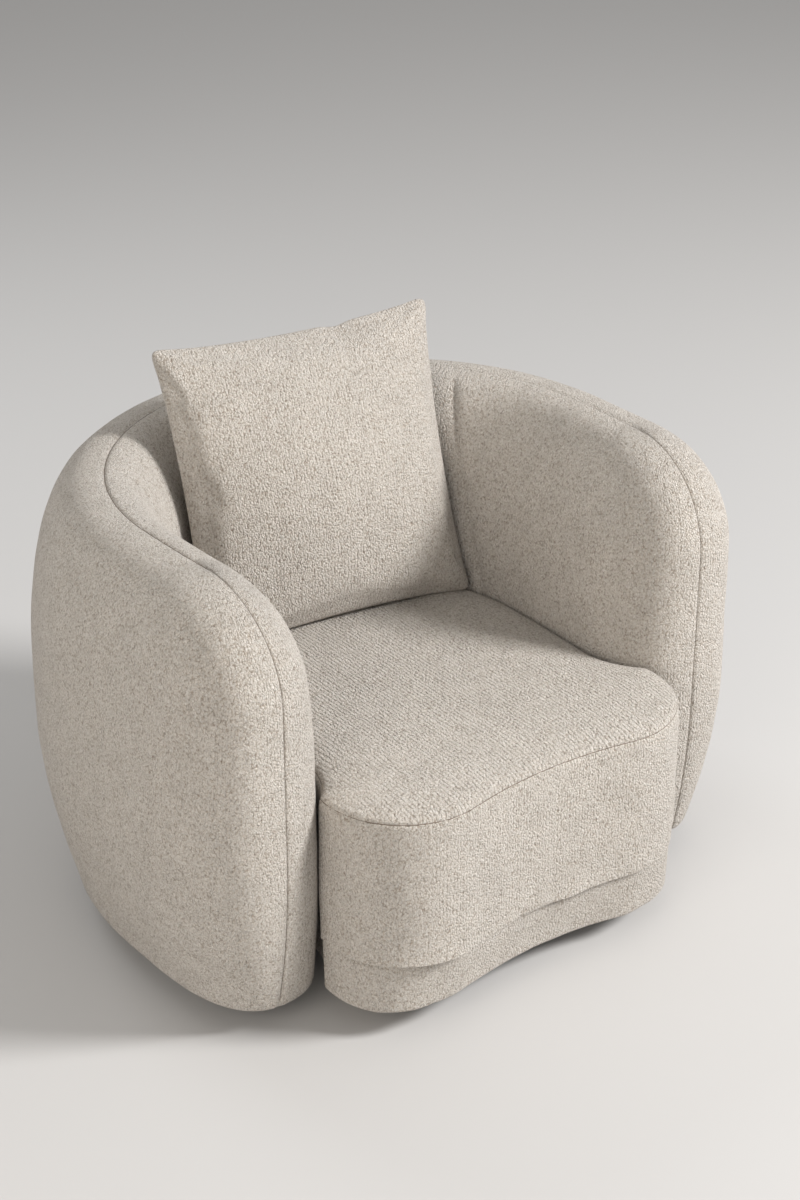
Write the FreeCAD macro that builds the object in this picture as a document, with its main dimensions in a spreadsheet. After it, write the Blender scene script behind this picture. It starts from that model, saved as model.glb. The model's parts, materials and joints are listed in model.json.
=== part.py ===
import FreeCAD, Part
import Sketcher
import math
import os

from FreeCAD import Placement, Rotation, Vector

# Tub chair on a hidden swivel base, with a loose square cushion.
# Millimetres. +Z is up, +X is to the right of someone facing the chair,
# and the chair looks along -Y. The origin is on the floor, on the swivel axis.

doc = FreeCAD.newDocument("tub_chair")
sheet = doc.addObject("Spreadsheet::Sheet", "Sizes")

DRIVING_SIZES = [
    # Tub wall: its rim line seen from above is a half circle that runs on into two arms
    ("rim_radius", 380),
    ("rim_centre_y", -42),
    ("arm_line_radius", 3100),
    ("arm_front_y", -340),
    ("rim_height", 672),
    ("bulge_height", 300),
    ("bulge_out", 120),
    ("hem_out", 75),
    ("wall_in", 115),
    ("inner_rounding", 330),
    ("arm_front_rounding", 150),
    ("arm_front_tuck", 28),
    # Seat, seen from above: two round lobes with a shallow bay between them
    ("lobe_radius", 128),
    ("lobe_centre_x", 168),
    ("lobe_centre_y", -328),
    ("bay_radius", 630),
    ("seat_gap", 3),
    ("seat_seam_height", 350),
    ("seat_crown", 18),
    ("boxing_hem_height", 126),
    ("boxing_fullness", 2),
    ("plinth_setback", 12.5),
    ("plinth_lean", 8),
    ("deck_height", 222),
    # Layers
    ("cover_thickness", 12),
    ("layer_gap", 0.4),
    ("inside_foam", 40),
    ("outside_foam", 12),
    ("top_panel_thickness", 8),
    ("plinth_cover_thickness", 18),
    ("tuck_in_height", 250),
    ("slot_end_y", -149),
    ("inside_join_bearing", 66),
    ("foam_join_bearing", 30),
    # Timber
    ("board_thickness", 18),
    ("rail_thickness", 25),
    ("panel_thickness", 4),
    ("ring_top_height", 545),
    ("cavity_end_y", -224),
    ("rib_thickness", 22),
    ("rib_clearance", 0.3),
    ("rib_hole_radius", 28),
    ("rib_hole_low_share", 0.3),
    ("rib_hole_high_share", 0.7),
    ("side_rail_x", 225),
    ("block_size", 45),
    # Webbing and felt under the seat foam
    ("strap_width", 50),
    ("strap_thickness", 2),
    ("strap_pitch", 78),
    ("lengthways_straps", 5),
    ("crossways_straps", 6),
    ("felt_inset", 20),
    ("felt_thickness", 3),
    # Swivel base
    ("glide_radius", 16),
    ("glide_thickness", 4),
    ("glide_circle", 255),
    ("glide_count", 8),
    ("disc_radius", 290),
    ("disc_thickness", 22),
    ("disc_edge_chamfer", 3),
    ("plate_radius", 130),
    ("plate_thickness", 3),
    ("plate_gap", 9),
    ("bearing_radius", 100),
    ("bearing_width", 14),
    ("fixing_circle", 118),
    ("fixing_count", 4),
    ("screw_radius", 2.5),
    ("screw_head_radius", 4.8),
    ("screw_head_height", 3),
    ("screw_length", 16),
    ("access_radius", 9),
    ("pin_radius", 6),
    ("pin_clearance", 0.05),
    ("pin_head_radius", 12),
    ("pin_head_thickness", 2.5),
    ("washer_radius", 13),
    ("washer_thickness", 2),
    ("nut_radius", 10.5),
    ("nut_thickness", 8),
    ("nut_room", 20),
    ("dust_cover_thickness", 0.8),
    ("dust_cover_inset", 8),
    # Loose cushion, square, leaning against the inside back
    ("cushion_side", 457),
    ("cushion_thickness", 165),
    ("cushion_draw", 12),
    ("cushion_x", 22),
    ("cushion_back_gap", 20.4),
    ("cushion_corner_rise", 12.2),
    ("cushion_turn", -7),
    ("cushion_lean", -18),
    ("cushion_cover_thickness", 5),
]

for row, (alias, amount) in enumerate(DRIVING_SIZES, start=1):
    sheet.set("A%d" % row, alias)
    sheet.set("B%d" % row, str(amount))
    sheet.setAlias("B%d" % row, alias)
doc.recompute()


def size(name):
    return float(sheet.get(name))


# Heights that several pieces share, as formulas of the driving sizes
DISC_BOTTOM = "Sizes.glide_thickness"
DISC_TOP = DISC_BOTTOM + " + Sizes.disc_thickness"
LOWER_PLATE_TOP = DISC_TOP + " + Sizes.plate_thickness"
UPPER_PLATE_BOTTOM = DISC_TOP + " + Sizes.plate_thickness + Sizes.plate_gap"
BOARD_BOTTOM = UPPER_PLATE_BOTTOM + " + Sizes.plate_thickness"
BOARD_TOP = BOARD_BOTTOM + " + Sizes.board_thickness"
RAIL_TOP = "Sizes.deck_height - Sizes.felt_thickness - 2 * Sizes.strap_thickness"
RAIL_HEIGHT = RAIL_TOP + " - (" + BOARD_TOP + ")"
RING_BOTTOM = "Sizes.ring_top_height - Sizes.board_thickness"
RIB_HEIGHT = RING_BOTTOM + " - (" + BOARD_TOP + ")"
NUT_BOTTOM = BOARD_BOTTOM + " + Sizes.washer_thickness"


reader = doc.addObject("App::FeaturePython", "Reader")
reader.addProperty("App::PropertyFloat", "Amount")


def value(formula):
    """The number that a formula of the sheet's sizes comes to."""
    reader.setExpression("Amount", formula)
    reader.recompute()
    return reader.Amount


subparts = []


def keep(piece, label):
    """Names a finished sub-part, so that it is written out at the end."""
    piece.Label = label
    subparts.append(piece)
    return piece


def bind(piece, **formulas):
    for prop, formula in formulas.items():
        piece.setExpression(prop.replace("__", "."), formula)
    return piece


def shaped(label, shape):
    """A sub-part whose form is built directly from wires and lofts."""
    piece = doc.addObject("Part::Feature", label)
    piece.Shape = shape
    return keep(piece, label)


def origin_plane(body, role):
    return [feature for feature in body.Origin.OriginFeatures if feature.Role == role][0]


def new_body(label, height_formula=None):
    body = doc.addObject("PartDesign::Body", label)
    if height_formula:
        bind(body, Placement__Base__z=height_formula)
    return keep(body, label)


def new_sketch(body, name, role="XY_Plane", lift=None):
    sketch = body.newObject("Sketcher::SketchObject", name)
    sketch.AttachmentSupport = [(origin_plane(body, role), "")]
    sketch.MapMode = "FlatFace"
    if lift:
        bind(sketch, AttachmentOffset__Base__z=lift)
    return sketch


def sketch_circle(sketch, radius_formula, x_formula=None, y_formula=None):
    """A circle held by its radius and its distances from the sketch's origin."""
    first = sketch.GeometryCount
    x = value(x_formula) if x_formula else 0.0
    y = value(y_formula) if y_formula else 0.0
    sketch.addGeometry(Part.Circle(Vector(x, y, 0), Vector(0, 0, 1), value(radius_formula)))
    radius = sketch.addConstraint(Sketcher.Constraint("Radius", first, value(radius_formula)))
    sketch.setExpression("Constraints[%d]" % radius, radius_formula)
    for kind, amount, formula in (("DistanceX", x, x_formula), ("DistanceY", y, y_formula)):
        if formula:
            place = sketch.addConstraint(Sketcher.Constraint(kind, -1, 1, first, 3, amount))
            sketch.setExpression("Constraints[%d]" % place, formula)
        else:
            axis = -2 if kind == "DistanceX" else -1
            sketch.addConstraint(Sketcher.Constraint("PointOnObject", first, 3, axis))


def pad(body, sketch, length_formula):
    feature = body.newObject("PartDesign::Pad", sketch.Name + "_pad")
    feature.Profile = sketch
    bind(feature, Length=length_formula)
    return feature


def pocket(body, sketch, through=True, upward=True):
    feature = body.newObject("PartDesign::Pocket", sketch.Name + "_cut")
    feature.Profile = sketch
    feature.Type = 1 if through else 0
    feature.Reversed = upward
    return feature


def ring_pattern(body, feature, count_formula):
    pattern = body.newObject("PartDesign::PolarPattern", feature.Name + "_round")
    pattern.Originals = [feature]
    pattern.Axis = (origin_plane(body, "Z_Axis"), [""])
    bind(pattern, Occurrences=count_formula)
    body.Tip = pattern
    return pattern


def at(x, y, z=0.0):
    return Vector(x, y, z)


def polar(centre, radius, bearing):
    """The point at a bearing from +Y towards +X, in radians, round a centre."""
    return Vector(centre.x + radius * math.sin(bearing), centre.y + radius * math.cos(bearing), 0)


def arc(centre, radius, start, end):
    """The arc between two bearings, as three points."""
    return [polar(centre, radius, bearing) for bearing in (start, (start + end) / 2, end)]


def mirrored(points):
    """The same run of points on the other side of the chair, walked the other way."""
    return [Vector(-point.x, point.y, point.z) for point in reversed(points)]


def outline(runs, height=0.0):
    """A closed wire at one height through arcs of three points and lines of two."""
    lift = Vector(0, 0, height)
    edges = []
    for run in runs:
        points = [point + lift for point in run]
        if len(points) == 3:
            edges.append(Part.Arc(*points).toShape())
        else:
            edges.append(Part.LineSegment(*points).toShape())
    return Part.Wire(edges)


def prism(runs, bottom, top):
    return Part.Face(outline(runs, bottom)).extrude(Vector(0, 0, top - bottom))


# The tub wall's level sections

class WallSection:
    """The plan of the tub wall at one height, with its skin drawn in by an inset."""

    def __init__(self, outward, inward, front_y):
        radius = size("rim_radius")
        arm_radius = size("arm_line_radius")
        self.back_centre = at(0, size("rim_centre_y"))
        self.arm_centre = at(radius - arm_radius, size("rim_centre_y"))
        self.outer_back = radius + outward
        self.inner_back = radius - inward
        self.outer_arm = arm_radius + outward
        self.inner_arm = arm_radius - inward
        self.nose_radius = (outward + inward) / 2
        self.nose_path = arm_radius + (outward - inward) / 2
        nose_y = front_y + self.nose_radius
        self.end = math.acos((nose_y - self.arm_centre.y) / self.nose_path)
        self.nose_centre = polar(self.arm_centre, self.nose_path, self.end)

    def outer_runs(self):
        """From the middle of the back, round the right side, to the tip of the arm."""
        quarter = math.pi / 2
        return [
            arc(self.back_centre, self.outer_back, 0, quarter),
            arc(self.arm_centre, self.outer_arm, quarter, self.end),
            arc(self.nose_centre, self.nose_radius, self.end, self.end + quarter),
        ]

    def inner_runs(self):
        """From the tip of the right arm, along its inside, to the middle of the back."""
        quarter = math.pi / 2
        return [
            arc(self.nose_centre, self.nose_radius, self.end + quarter, self.end + 2 * quarter),
            arc(self.arm_centre, self.inner_arm, self.end, quarter),
            arc(self.back_centre, self.inner_back, quarter, 0),
        ]

    def runs(self):
        right = self.outer_runs() + self.inner_runs()
        left = [mirrored(run) for run in reversed(right)]
        return right + left


OUTSIDE_ROUNDING = 2.8
INSIDE_ROUNDING = 2.2
HEM_ROUNDING = 1.5


def oval(share, exponent):
    """Width left, from 1 to 0, at a share of the way up a rounded shoulder."""
    share = min(max(share, 0.0), 1.0)
    return (1 - share ** exponent) ** (1 / exponent)


def wall_section(height, inset):
    """The wall's plan at a height, for a skin that lies an inset below the surface."""
    top = size("rim_height") - inset
    bulge_height = size("bulge_height")
    below = (bulge_height - height) / (bulge_height - value(BOARD_BOTTOM))
    if below > 0:
        outward = size("bulge_out") - (size("bulge_out") - size("hem_out")) * below ** HEM_ROUNDING - inset
    else:
        rise = (height - bulge_height) / (top - bulge_height)
        outward = (size("bulge_out") - inset) * oval(rise, OUTSIDE_ROUNDING)
    rounding = size("inner_rounding")
    inward = (size("wall_in") - inset) * oval((height - top + rounding) / rounding, INSIDE_ROUNDING)
    corner = size("arm_front_rounding")
    lift = min(max((height - top + corner) / corner, 0.0), 1.0)
    front_y = size("arm_front_y") + inset + corner * (1 - math.sqrt(1 - lift ** 2))
    front_y += size("arm_front_tuck") * max(below, 0.0) ** 2
    return WallSection(outward, inward, front_y)


TOP_ANGLES = (0, 30, 52, 70, 84)


def wall_levels(inset, bottom):
    """Heights of the sections, closer together where the rim rounds over."""
    bulge_height = size("bulge_height")
    rise = size("rim_height") - inset - bulge_height
    levels = [bottom, (bottom + bulge_height) / 2]
    levels += [bulge_height + rise * math.sin(math.radians(angle)) for angle in TOP_ANGLES]
    return levels


# Where a surface is hidden, flats stand in for each run of a wall section, this many
HIDDEN_FLATS = (4, 1, 2, 2, 1, 4)


def flats(run, count):
    """The run's arc as a chain of straight lines."""
    curve = Part.Arc(*run)
    points = [curve.value(curve.FirstParameter + (curve.LastParameter - curve.FirstParameter) * step / count)
              for step in range(int(count) + 1)]
    return [list(pair) for pair in zip(points[:-1], points[1:])]


def hidden_runs(runs, counts):
    return [line for run, count in zip(runs, counts) for line in flats(run, count)]


def wall_loft(inset, bottom, hidden=False):
    """The whole wall as one solid, its skin drawn in by an inset."""
    wires = []
    for height in wall_levels(inset, bottom):
        runs = wall_section(max(height, value(BOARD_BOTTOM)), inset).runs()
        if hidden:
            runs = hidden_runs(runs, HIDDEN_FLATS + HIDDEN_FLATS[::-1])
        wires.append(outline(runs, height))
    return Part.makeLoft(wires, True, True)


def rim_strip(outer_offset, inner_offset, end_y):
    """A strip along the rim line between two offsets, its arms cut square at the front."""
    line = WallSection(outer_offset, -inner_offset, end_y)
    quarter = math.pi / 2
    outer_end = math.acos((end_y - line.arm_centre.y) / line.outer_arm)
    inner_end = math.acos((end_y - line.arm_centre.y) / line.inner_arm)
    outer_arm = arc(line.arm_centre, line.outer_arm, quarter, outer_end)
    inner_arm = arc(line.arm_centre, line.inner_arm, inner_end, quarter)
    right = [
        arc(line.back_centre, line.outer_back, 0, quarter),
        outer_arm,
        [outer_arm[-1], inner_arm[0]],
        inner_arm,
        arc(line.back_centre, line.inner_back, quarter, 0),
    ]
    return right + [mirrored(run) for run in reversed(right)]


def rim_curtain(offset):
    """All that lies inside the rim line moved out by an offset, open to the front."""
    line = WallSection(offset, -offset, size("arm_front_y"))
    beyond = 2 * size("arm_front_y")
    quarter = math.pi / 2
    arm = arc(line.arm_centre, line.outer_arm, quarter, line.end)
    right = [
        arc(line.back_centre, line.outer_back, 0, quarter),
        arm,
        [arm[-1], at(arm[-1].x, beyond)],
        [at(arm[-1].x, beyond), at(0, beyond)],
    ]
    runs = right + [mirrored(run) for run in reversed(right)]
    return prism(runs, 0, 2 * size("rim_height"))


# The seat's plan

class SeatOutline:
    """The seat's plan drawn in by an inset: bay, lobe, arm front, inside arm and inside back."""

    def __init__(self, inset):
        wall = wall_section(size("bulge_height"), 0)
        room = size("seat_gap") + inset
        self.lobe_centre = at(size("lobe_centre_x"), size("lobe_centre_y"))
        self.lobe_radius = size("lobe_radius") - inset
        self.bay_radius = size("bay_radius") + inset
        reach = size("bay_radius") + size("lobe_radius")
        self.bay_bearing = math.asin(self.lobe_centre.x / reach)
        self.bay_centre = at(0, self.lobe_centre.y - reach * math.cos(self.bay_bearing))
        self.nose_centre = wall.nose_centre
        self.nose_radius = wall.nose_radius + room
        self.arm_centre = wall.arm_centre
        self.arm_radius = wall.inner_arm - room
        self.arm_end = wall.end
        self.back_centre = wall.back_centre
        self.back_radius = wall.inner_back - room

    def corner(self):
        """Where the lobe meets the arm's front."""
        across = self.nose_centre - self.lobe_centre
        distance = across.Length
        along = (distance ** 2 + self.lobe_radius ** 2 - self.nose_radius ** 2) / (2 * distance)
        aside = math.sqrt(self.lobe_radius ** 2 - along ** 2)
        unit = across / distance
        return self.lobe_centre + unit * along + at(unit.y, -unit.x) * aside

    def bearing(self, centre, point):
        return math.atan2(point.x - centre.x, point.y - centre.y) % (2 * math.pi)

    def front_runs(self):
        corner = self.corner()
        lobe_end = self.bearing(self.lobe_centre, corner)
        nose_start = self.bearing(self.nose_centre, corner)
        return [
            arc(self.bay_centre, self.bay_radius, 0, self.bay_bearing),
            arc(self.lobe_centre, self.lobe_radius, math.pi + self.bay_bearing, lobe_end),
            arc(self.nose_centre, self.nose_radius, nose_start, self.arm_end + math.pi),
        ]

    def arm_run(self, end_y):
        end = math.acos((end_y - self.arm_centre.y) / self.arm_radius)
        return arc(self.arm_centre, self.arm_radius, self.arm_end, end)

    def runs(self):
        right = self.front_runs()
        right += [self.arm_run(self.back_centre.y), arc(self.back_centre, self.back_radius, math.pi / 2, 0)]
        return right + [mirrored(run) for run in reversed(right)]


def seat_prism(inset, bottom, top):
    return prism(SeatOutline(inset).runs(), bottom, top)


# The same for the runs of the seat's plan
HIDDEN_SEAT_FLATS = (4, 5, 8, 1, 4)


def seat_loft(levels, hidden=False):
    """A solid through the seat's plan at pairs of inset and height."""
    wires = []
    for inset, height in levels:
        runs = SeatOutline(inset).runs()
        if hidden:
            runs = hidden_runs(runs, HIDDEN_SEAT_FLATS + HIDDEN_SEAT_FLATS[::-1])
        wires.append(outline(runs, height))
    return Part.makeLoft(wires, True, True)


def front_box(end_y):
    """A tall block that holds all that lies in front of a line across the chair."""
    reach = 2 * size("rim_radius")
    return Part.makeBox(2 * reach, 2 * reach, 2 * size("rim_height"), at(-reach, end_y - 2 * reach))


def backwards(runs):
    return [list(reversed(run)) for run in reversed(runs)]


def board_runs(inset):
    """The base board: the wall's foot and the seat's foot, joined behind the two slots."""
    foot = wall_section(value(BOARD_BOTTOM), size("cover_thickness") + size("layer_gap") + inset)
    seat = SeatOutline(size("plinth_setback") + size("plinth_cover_thickness") + size("layer_gap") + inset)
    slot_y = size("slot_end_y") + inset
    slot_bearing = math.acos((slot_y - foot.arm_centre.y) / foot.inner_arm)
    inner_arm = arc(foot.arm_centre, foot.inner_arm, foot.end, slot_bearing)
    seat_side = seat.arm_run(slot_y)
    right = hidden_runs(foot.outer_runs() + foot.inner_runs()[:1], HIDDEN_FLATS[:4])
    right += [inner_arm, [inner_arm[-1], seat_side[-1]]]
    right += backwards(seat.front_runs() + [seat_side])
    return right + [mirrored(run) for run in reversed(right)]


def strip_body(label, runs, bottom_formula, length_formula):
    """A flat piece cut to an outline, with its thickness bound to the sheet."""
    body = new_body(label, bottom_formula)
    sketch = new_sketch(body, label + "_outline")
    for run in runs:
        sketch.addGeometry(Part.Arc(*run) if len(run) == 3 else Part.LineSegment(*run))
    pad(body, sketch, length_formula)
    return body


def drill(body, name, radius_formula, circle_formula=None, count_formula=None, bearing=0.0):
    """Round holes right through a body, one at its centre or several on a circle."""
    sketch = new_sketch(body, name)
    if circle_formula:
        x_formula = "(%s) * sin(%g)" % (circle_formula, bearing)
        y_formula = "(%s) * cos(%g)" % (circle_formula, bearing)
        sketch_circle(sketch, radius_formula, x_formula if bearing else None, y_formula)
    else:
        sketch_circle(sketch, radius_formula)
    hole = pocket(body, sketch)
    if count_formula:
        ring_pattern(body, hole, count_formula)


# Swivel base, which stays still on the floor

def floor_glides():
    glides = []
    for number in range(int(size("glide_count"))):
        place = polar(at(0, 0), size("glide_circle"), 2 * math.pi * number / size("glide_count"))
        glides.append(Part.makeCylinder(size("glide_radius"), size("glide_thickness"), place))
    shaped("floor_glides", Part.makeCompound(glides))


def base_disc():
    body = new_body("base_disc", DISC_BOTTOM)
    sketch = new_sketch(body, "disc_outline")
    sketch_circle(sketch, "Sizes.disc_radius")
    slab = pad(body, sketch, "Sizes.disc_thickness")
    doc.recompute()
    rims = ["Edge%d" % (index + 1) for index, edge in enumerate(slab.Shape.Edges) if edge.Closed]
    eased = body.newObject("PartDesign::Chamfer", "disc_edge")
    eased.Base = (slab, rims)
    bind(eased, Size="Sizes.disc_edge_chamfer")
    drill(body, "disc_centre_hole", "Sizes.nut_room")
    drill(body, "disc_screw_holes", "Sizes.screw_radius", "Sizes.fixing_circle", "Sizes.fixing_count")
    drill(body, "disc_access_hole", "Sizes.access_radius", "Sizes.fixing_circle", None, 45)


def swivel_plate(label, bottom_formula, centre_hole_formula, access):
    """A round steel plate with its centre hole and screw holes."""
    body = new_body(label, bottom_formula)
    sketch = new_sketch(body, label + "_outline")
    sketch_circle(sketch, "Sizes.plate_radius")
    pad(body, sketch, "Sizes.plate_thickness")
    drill(body, label + "_centre_hole", centre_hole_formula)
    drill(body, label + "_screw_holes", "Sizes.screw_radius", "Sizes.fixing_circle", "Sizes.fixing_count")
    if access:
        drill(body, label + "_access_hole", "Sizes.access_radius", "Sizes.fixing_circle", None, 45)


def bearing_ring():
    """A flat ring of slippery plastic that the upper plate turns on."""
    body = new_body("bearing_ring", LOWER_PLATE_TOP)
    sketch = new_sketch(body, "bearing_outline")
    sketch_circle(sketch, "Sizes.bearing_radius + Sizes.bearing_width / 2")
    sketch_circle(sketch, "Sizes.bearing_radius - Sizes.bearing_width / 2")
    pad(body, sketch, "Sizes.plate_gap")


def swivel_pin():
    """A headed pin: its head hides in the disc's hole and its shank goes up through both plates."""
    shank_height = value(NUT_BOTTOM) + size("nut_thickness") + 2 - value(DISC_TOP)
    head = Part.makeCylinder(size("pin_head_radius"), size("pin_head_thickness"),
                             at(0, 0, value(DISC_TOP) - size("pin_head_thickness")))
    shank = Part.makeCylinder(size("pin_radius"), shank_height, at(0, 0, value(DISC_TOP)))
    shaped("swivel_pin", head.fuse(shank).removeSplitter())


def pin_washer():
    body = new_body("pin_washer", BOARD_BOTTOM)
    sketch = new_sketch(body, "washer_outline")
    sketch_circle(sketch, "Sizes.washer_radius")
    sketch_circle(sketch, "Sizes.pin_radius")
    pad(body, sketch, "Sizes.washer_thickness")


def pin_nut():
    blank = doc.addObject("Part::Prism", "nut_blank")
    bind(blank, Circumradius="Sizes.nut_radius", Height="Sizes.nut_thickness", Placement__Base__z=NUT_BOTTOM)
    bore = doc.addObject("Part::Cylinder", "nut_bore")
    bind(bore, Radius="Sizes.pin_radius", Height="Sizes.nut_thickness", Placement__Base__z=NUT_BOTTOM)
    nut = doc.addObject("Part::Cut", "pin_nut")
    nut.Base = blank
    nut.Tool = bore
    keep(nut, "pin_nut")


def plate_screws(label, face_formula, upwards):
    """Pan-head screws whose heads sit on a plate's face inside the swivel."""
    side = 1 if upwards else -1
    screws = []
    for number in range(int(size("fixing_count"))):
        place = polar(at(0, 0), size("fixing_circle"), 2 * math.pi * number / size("fixing_count"))
        place.z = value(face_formula)
        shank = Part.makeCylinder(size("screw_radius"), size("screw_length"), place, at(0, 0, side))
        head = Part.makeCylinder(size("screw_head_radius"), size("screw_head_height"), place, at(0, 0, -side))
        screws.append(shank.fuse(head).removeSplitter())
    shaped(label, Part.makeCompound(screws))


# Frame of the tub

def bottom_board():
    body = strip_body("bottom_board", board_runs(0), BOARD_BOTTOM, "Sizes.board_thickness")
    drill(body, "board_nut_room", "Sizes.nut_room")
    drill(body, "board_screw_holes", "Sizes.screw_radius", "Sizes.fixing_circle", "Sizes.fixing_count")


def dust_cover():
    body = strip_body("dust_cover", board_runs(size("dust_cover_inset")),
                      BOARD_BOTTOM + " - Sizes.dust_cover_thickness", "Sizes.dust_cover_thickness")
    drill(body, "dust_cover_opening", "Sizes.plate_radius + Sizes.dust_cover_inset")


def cavity_offsets():
    """How far the frame's room inside the foam reaches out and in from the rim line."""
    skin = size("cover_thickness") + size("layer_gap")
    return size("hem_out") - skin - size("outside_foam"), size("wall_in") - skin - size("inside_foam")


def wall_panels():
    """Thin bent boards that line the frame inside and outside, and the ring that caps them."""
    outward, inward = cavity_offsets()
    gap = size("layer_gap")
    thickness = size("panel_thickness")
    end_y = size("cavity_end_y") + gap
    outer, inner = outward - gap, gap - inward
    strip_body("outer_panel", rim_strip(outer, outer - thickness, end_y), BOARD_TOP, RIB_HEIGHT)
    strip_body("inner_panel", rim_strip(inner + thickness, inner, end_y), BOARD_TOP, RIB_HEIGHT)
    strip_body("top_ring", rim_strip(outer, inner, end_y), RING_BOTTOM, "Sizes.board_thickness")


def rib(label, pivot, start, depth, bearing):
    """An upright rib with two holes, standing across the wall at a bearing."""
    body = new_body(label)
    sketch = new_sketch(body, label + "_outline", "XZ_Plane")
    height = value(RIB_HEIGHT)
    corners = [at(0, 0), at(depth, 0), at(depth, height), at(0, height)]
    for first, second in zip(corners, corners[1:] + corners[:1]):
        sketch.addGeometry(Part.LineSegment(first, second))
    radius = size("rib_hole_radius")
    for share in (size("rib_hole_low_share"), size("rib_hole_high_share")):
        middle = at(depth / 2, share * height)
        hole = sketch.addGeometry(Part.Circle(middle, at(0, 0, 1), radius))
        constraint = sketch.addConstraint(Sketcher.Constraint("Radius", hole, radius))
        sketch.setExpression("Constraints[%d]" % constraint, "Sizes.rib_hole_radius")
    plate = pad(body, sketch, "Sizes.rib_thickness")
    plate.Midplane = True
    foot = polar(pivot, start, bearing)
    foot.z = value(BOARD_TOP)
    body.Placement = Placement(foot, Rotation(Vector(0, 0, 1), 90 - math.degrees(bearing)))


def ribs():
    outward, inward = cavity_offsets()
    inner = -inward + size("layer_gap") + size("panel_thickness")
    outer = outward - size("layer_gap") - size("panel_thickness") - size("rib_clearance")
    depth = outer - inner
    line = WallSection(0, 0, size("arm_front_y"))
    for number, degrees in enumerate((-90, -60, -30, 0, 30, 60, 90), start=1):
        rib("back_rib_%d" % number, line.back_centre, line.outer_back + inner, depth, math.radians(degrees))
    arm_bearing = math.acos((size("slot_end_y") - line.arm_centre.y) / line.outer_arm)
    left_centre = at(-line.arm_centre.x, line.arm_centre.y)
    rib("right_arm_rib", line.arm_centre, line.outer_arm + inner, depth, arm_bearing)
    rib("left_arm_rib", left_centre, line.outer_arm + inner, depth, -arm_bearing)


# Seat frame and suspension

def seat_rails():
    skin = size("plinth_setback") + size("plinth_cover_thickness") + size("layer_gap")
    thickness = size("rail_thickness")
    outer = SeatOutline(skin)
    inner = SeatOutline(skin + thickness)
    bottom, top = value(BOARD_TOP), value(RAIL_TOP)

    bay_bearing = outer.bay_bearing
    lobe_start, lobe_end = math.pi + bay_bearing, math.pi / 2
    outer_tip = polar(outer.lobe_centre, outer.lobe_radius, lobe_end)
    inner_tip = polar(inner.lobe_centre, inner.lobe_radius, lobe_end)
    right = [
        arc(outer.bay_centre, outer.bay_radius, 0, bay_bearing),
        arc(outer.lobe_centre, outer.lobe_radius, lobe_start, lobe_end),
        [outer_tip, inner_tip],
        arc(inner.lobe_centre, inner.lobe_radius, lobe_end, lobe_start),
        arc(inner.bay_centre, inner.bay_radius, bay_bearing, 0),
    ]
    strip_body("front_rail", right + [mirrored(run) for run in reversed(right)], BOARD_TOP, RAIL_HEIGHT)

    rail_x = size("side_rail_x")
    back_y = size("rim_centre_y")
    lobe_y = size("lobe_centre_y")
    room = Part.makeCylinder(inner.lobe_radius, top - bottom, inner.lobe_centre + at(0, 0, bottom))
    straight = Part.makeBox(thickness, back_y - lobe_y, top - bottom, at(rail_x - thickness, lobe_y, bottom))
    ahead = Part.makeBox(thickness, inner.lobe_radius, top - bottom,
                         at(rail_x - thickness, lobe_y - inner.lobe_radius, bottom))
    right_rail = straight.fuse(ahead.common(room)).removeSplitter()
    shaped("side_rail_right", right_rail)
    shaped("side_rail_left", right_rail.mirror(at(0, 0), at(1, 0)))

    centre = at(0, back_y)
    quarter = math.pi / 2
    half = [
        arc(centre, rail_x, 0, quarter),
        [at(rail_x, back_y), at(rail_x - thickness, back_y)],
        arc(centre, rail_x - thickness, quarter, 0),
    ]
    strip_body("back_rail", half + [mirrored(run) for run in reversed(half)], BOARD_TOP, RAIL_HEIGHT)

    cross_y = cross_rail_front() + thickness
    cross = doc.addObject("Part::Box", "cross_rail")
    bind(cross, Length="2 * (Sizes.side_rail_x - Sizes.rail_thickness)", Width="Sizes.rail_thickness",
         Height=RAIL_HEIGHT)
    cross.Placement.Base = at(thickness - rail_x, cross_rail_front(), bottom)
    keep(cross, "cross_rail")

    leg = size("block_size")
    corner = at(rail_x - thickness, cross_y)
    triangle = [[corner, corner - at(leg, 0)], [corner - at(leg, 0), corner + at(0, leg)],
                [corner + at(0, leg), corner]]
    strip_body("corner_block_right", triangle, BOARD_TOP, RAIL_HEIGHT)
    strip_body("corner_block_left", [mirrored(run) for run in reversed(triangle)], BOARD_TOP, RAIL_HEIGHT)


def cross_rail_front():
    """The cross rail stands against the middle of the wavy front rail."""
    skin = size("plinth_setback") + size("plinth_cover_thickness") + size("layer_gap")
    inner = SeatOutline(skin + size("rail_thickness"))
    return inner.bay_centre.y + inner.bay_radius


def centred(count, pitch):
    return [(number - (count - 1) / 2) * pitch for number in range(count)]


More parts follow.
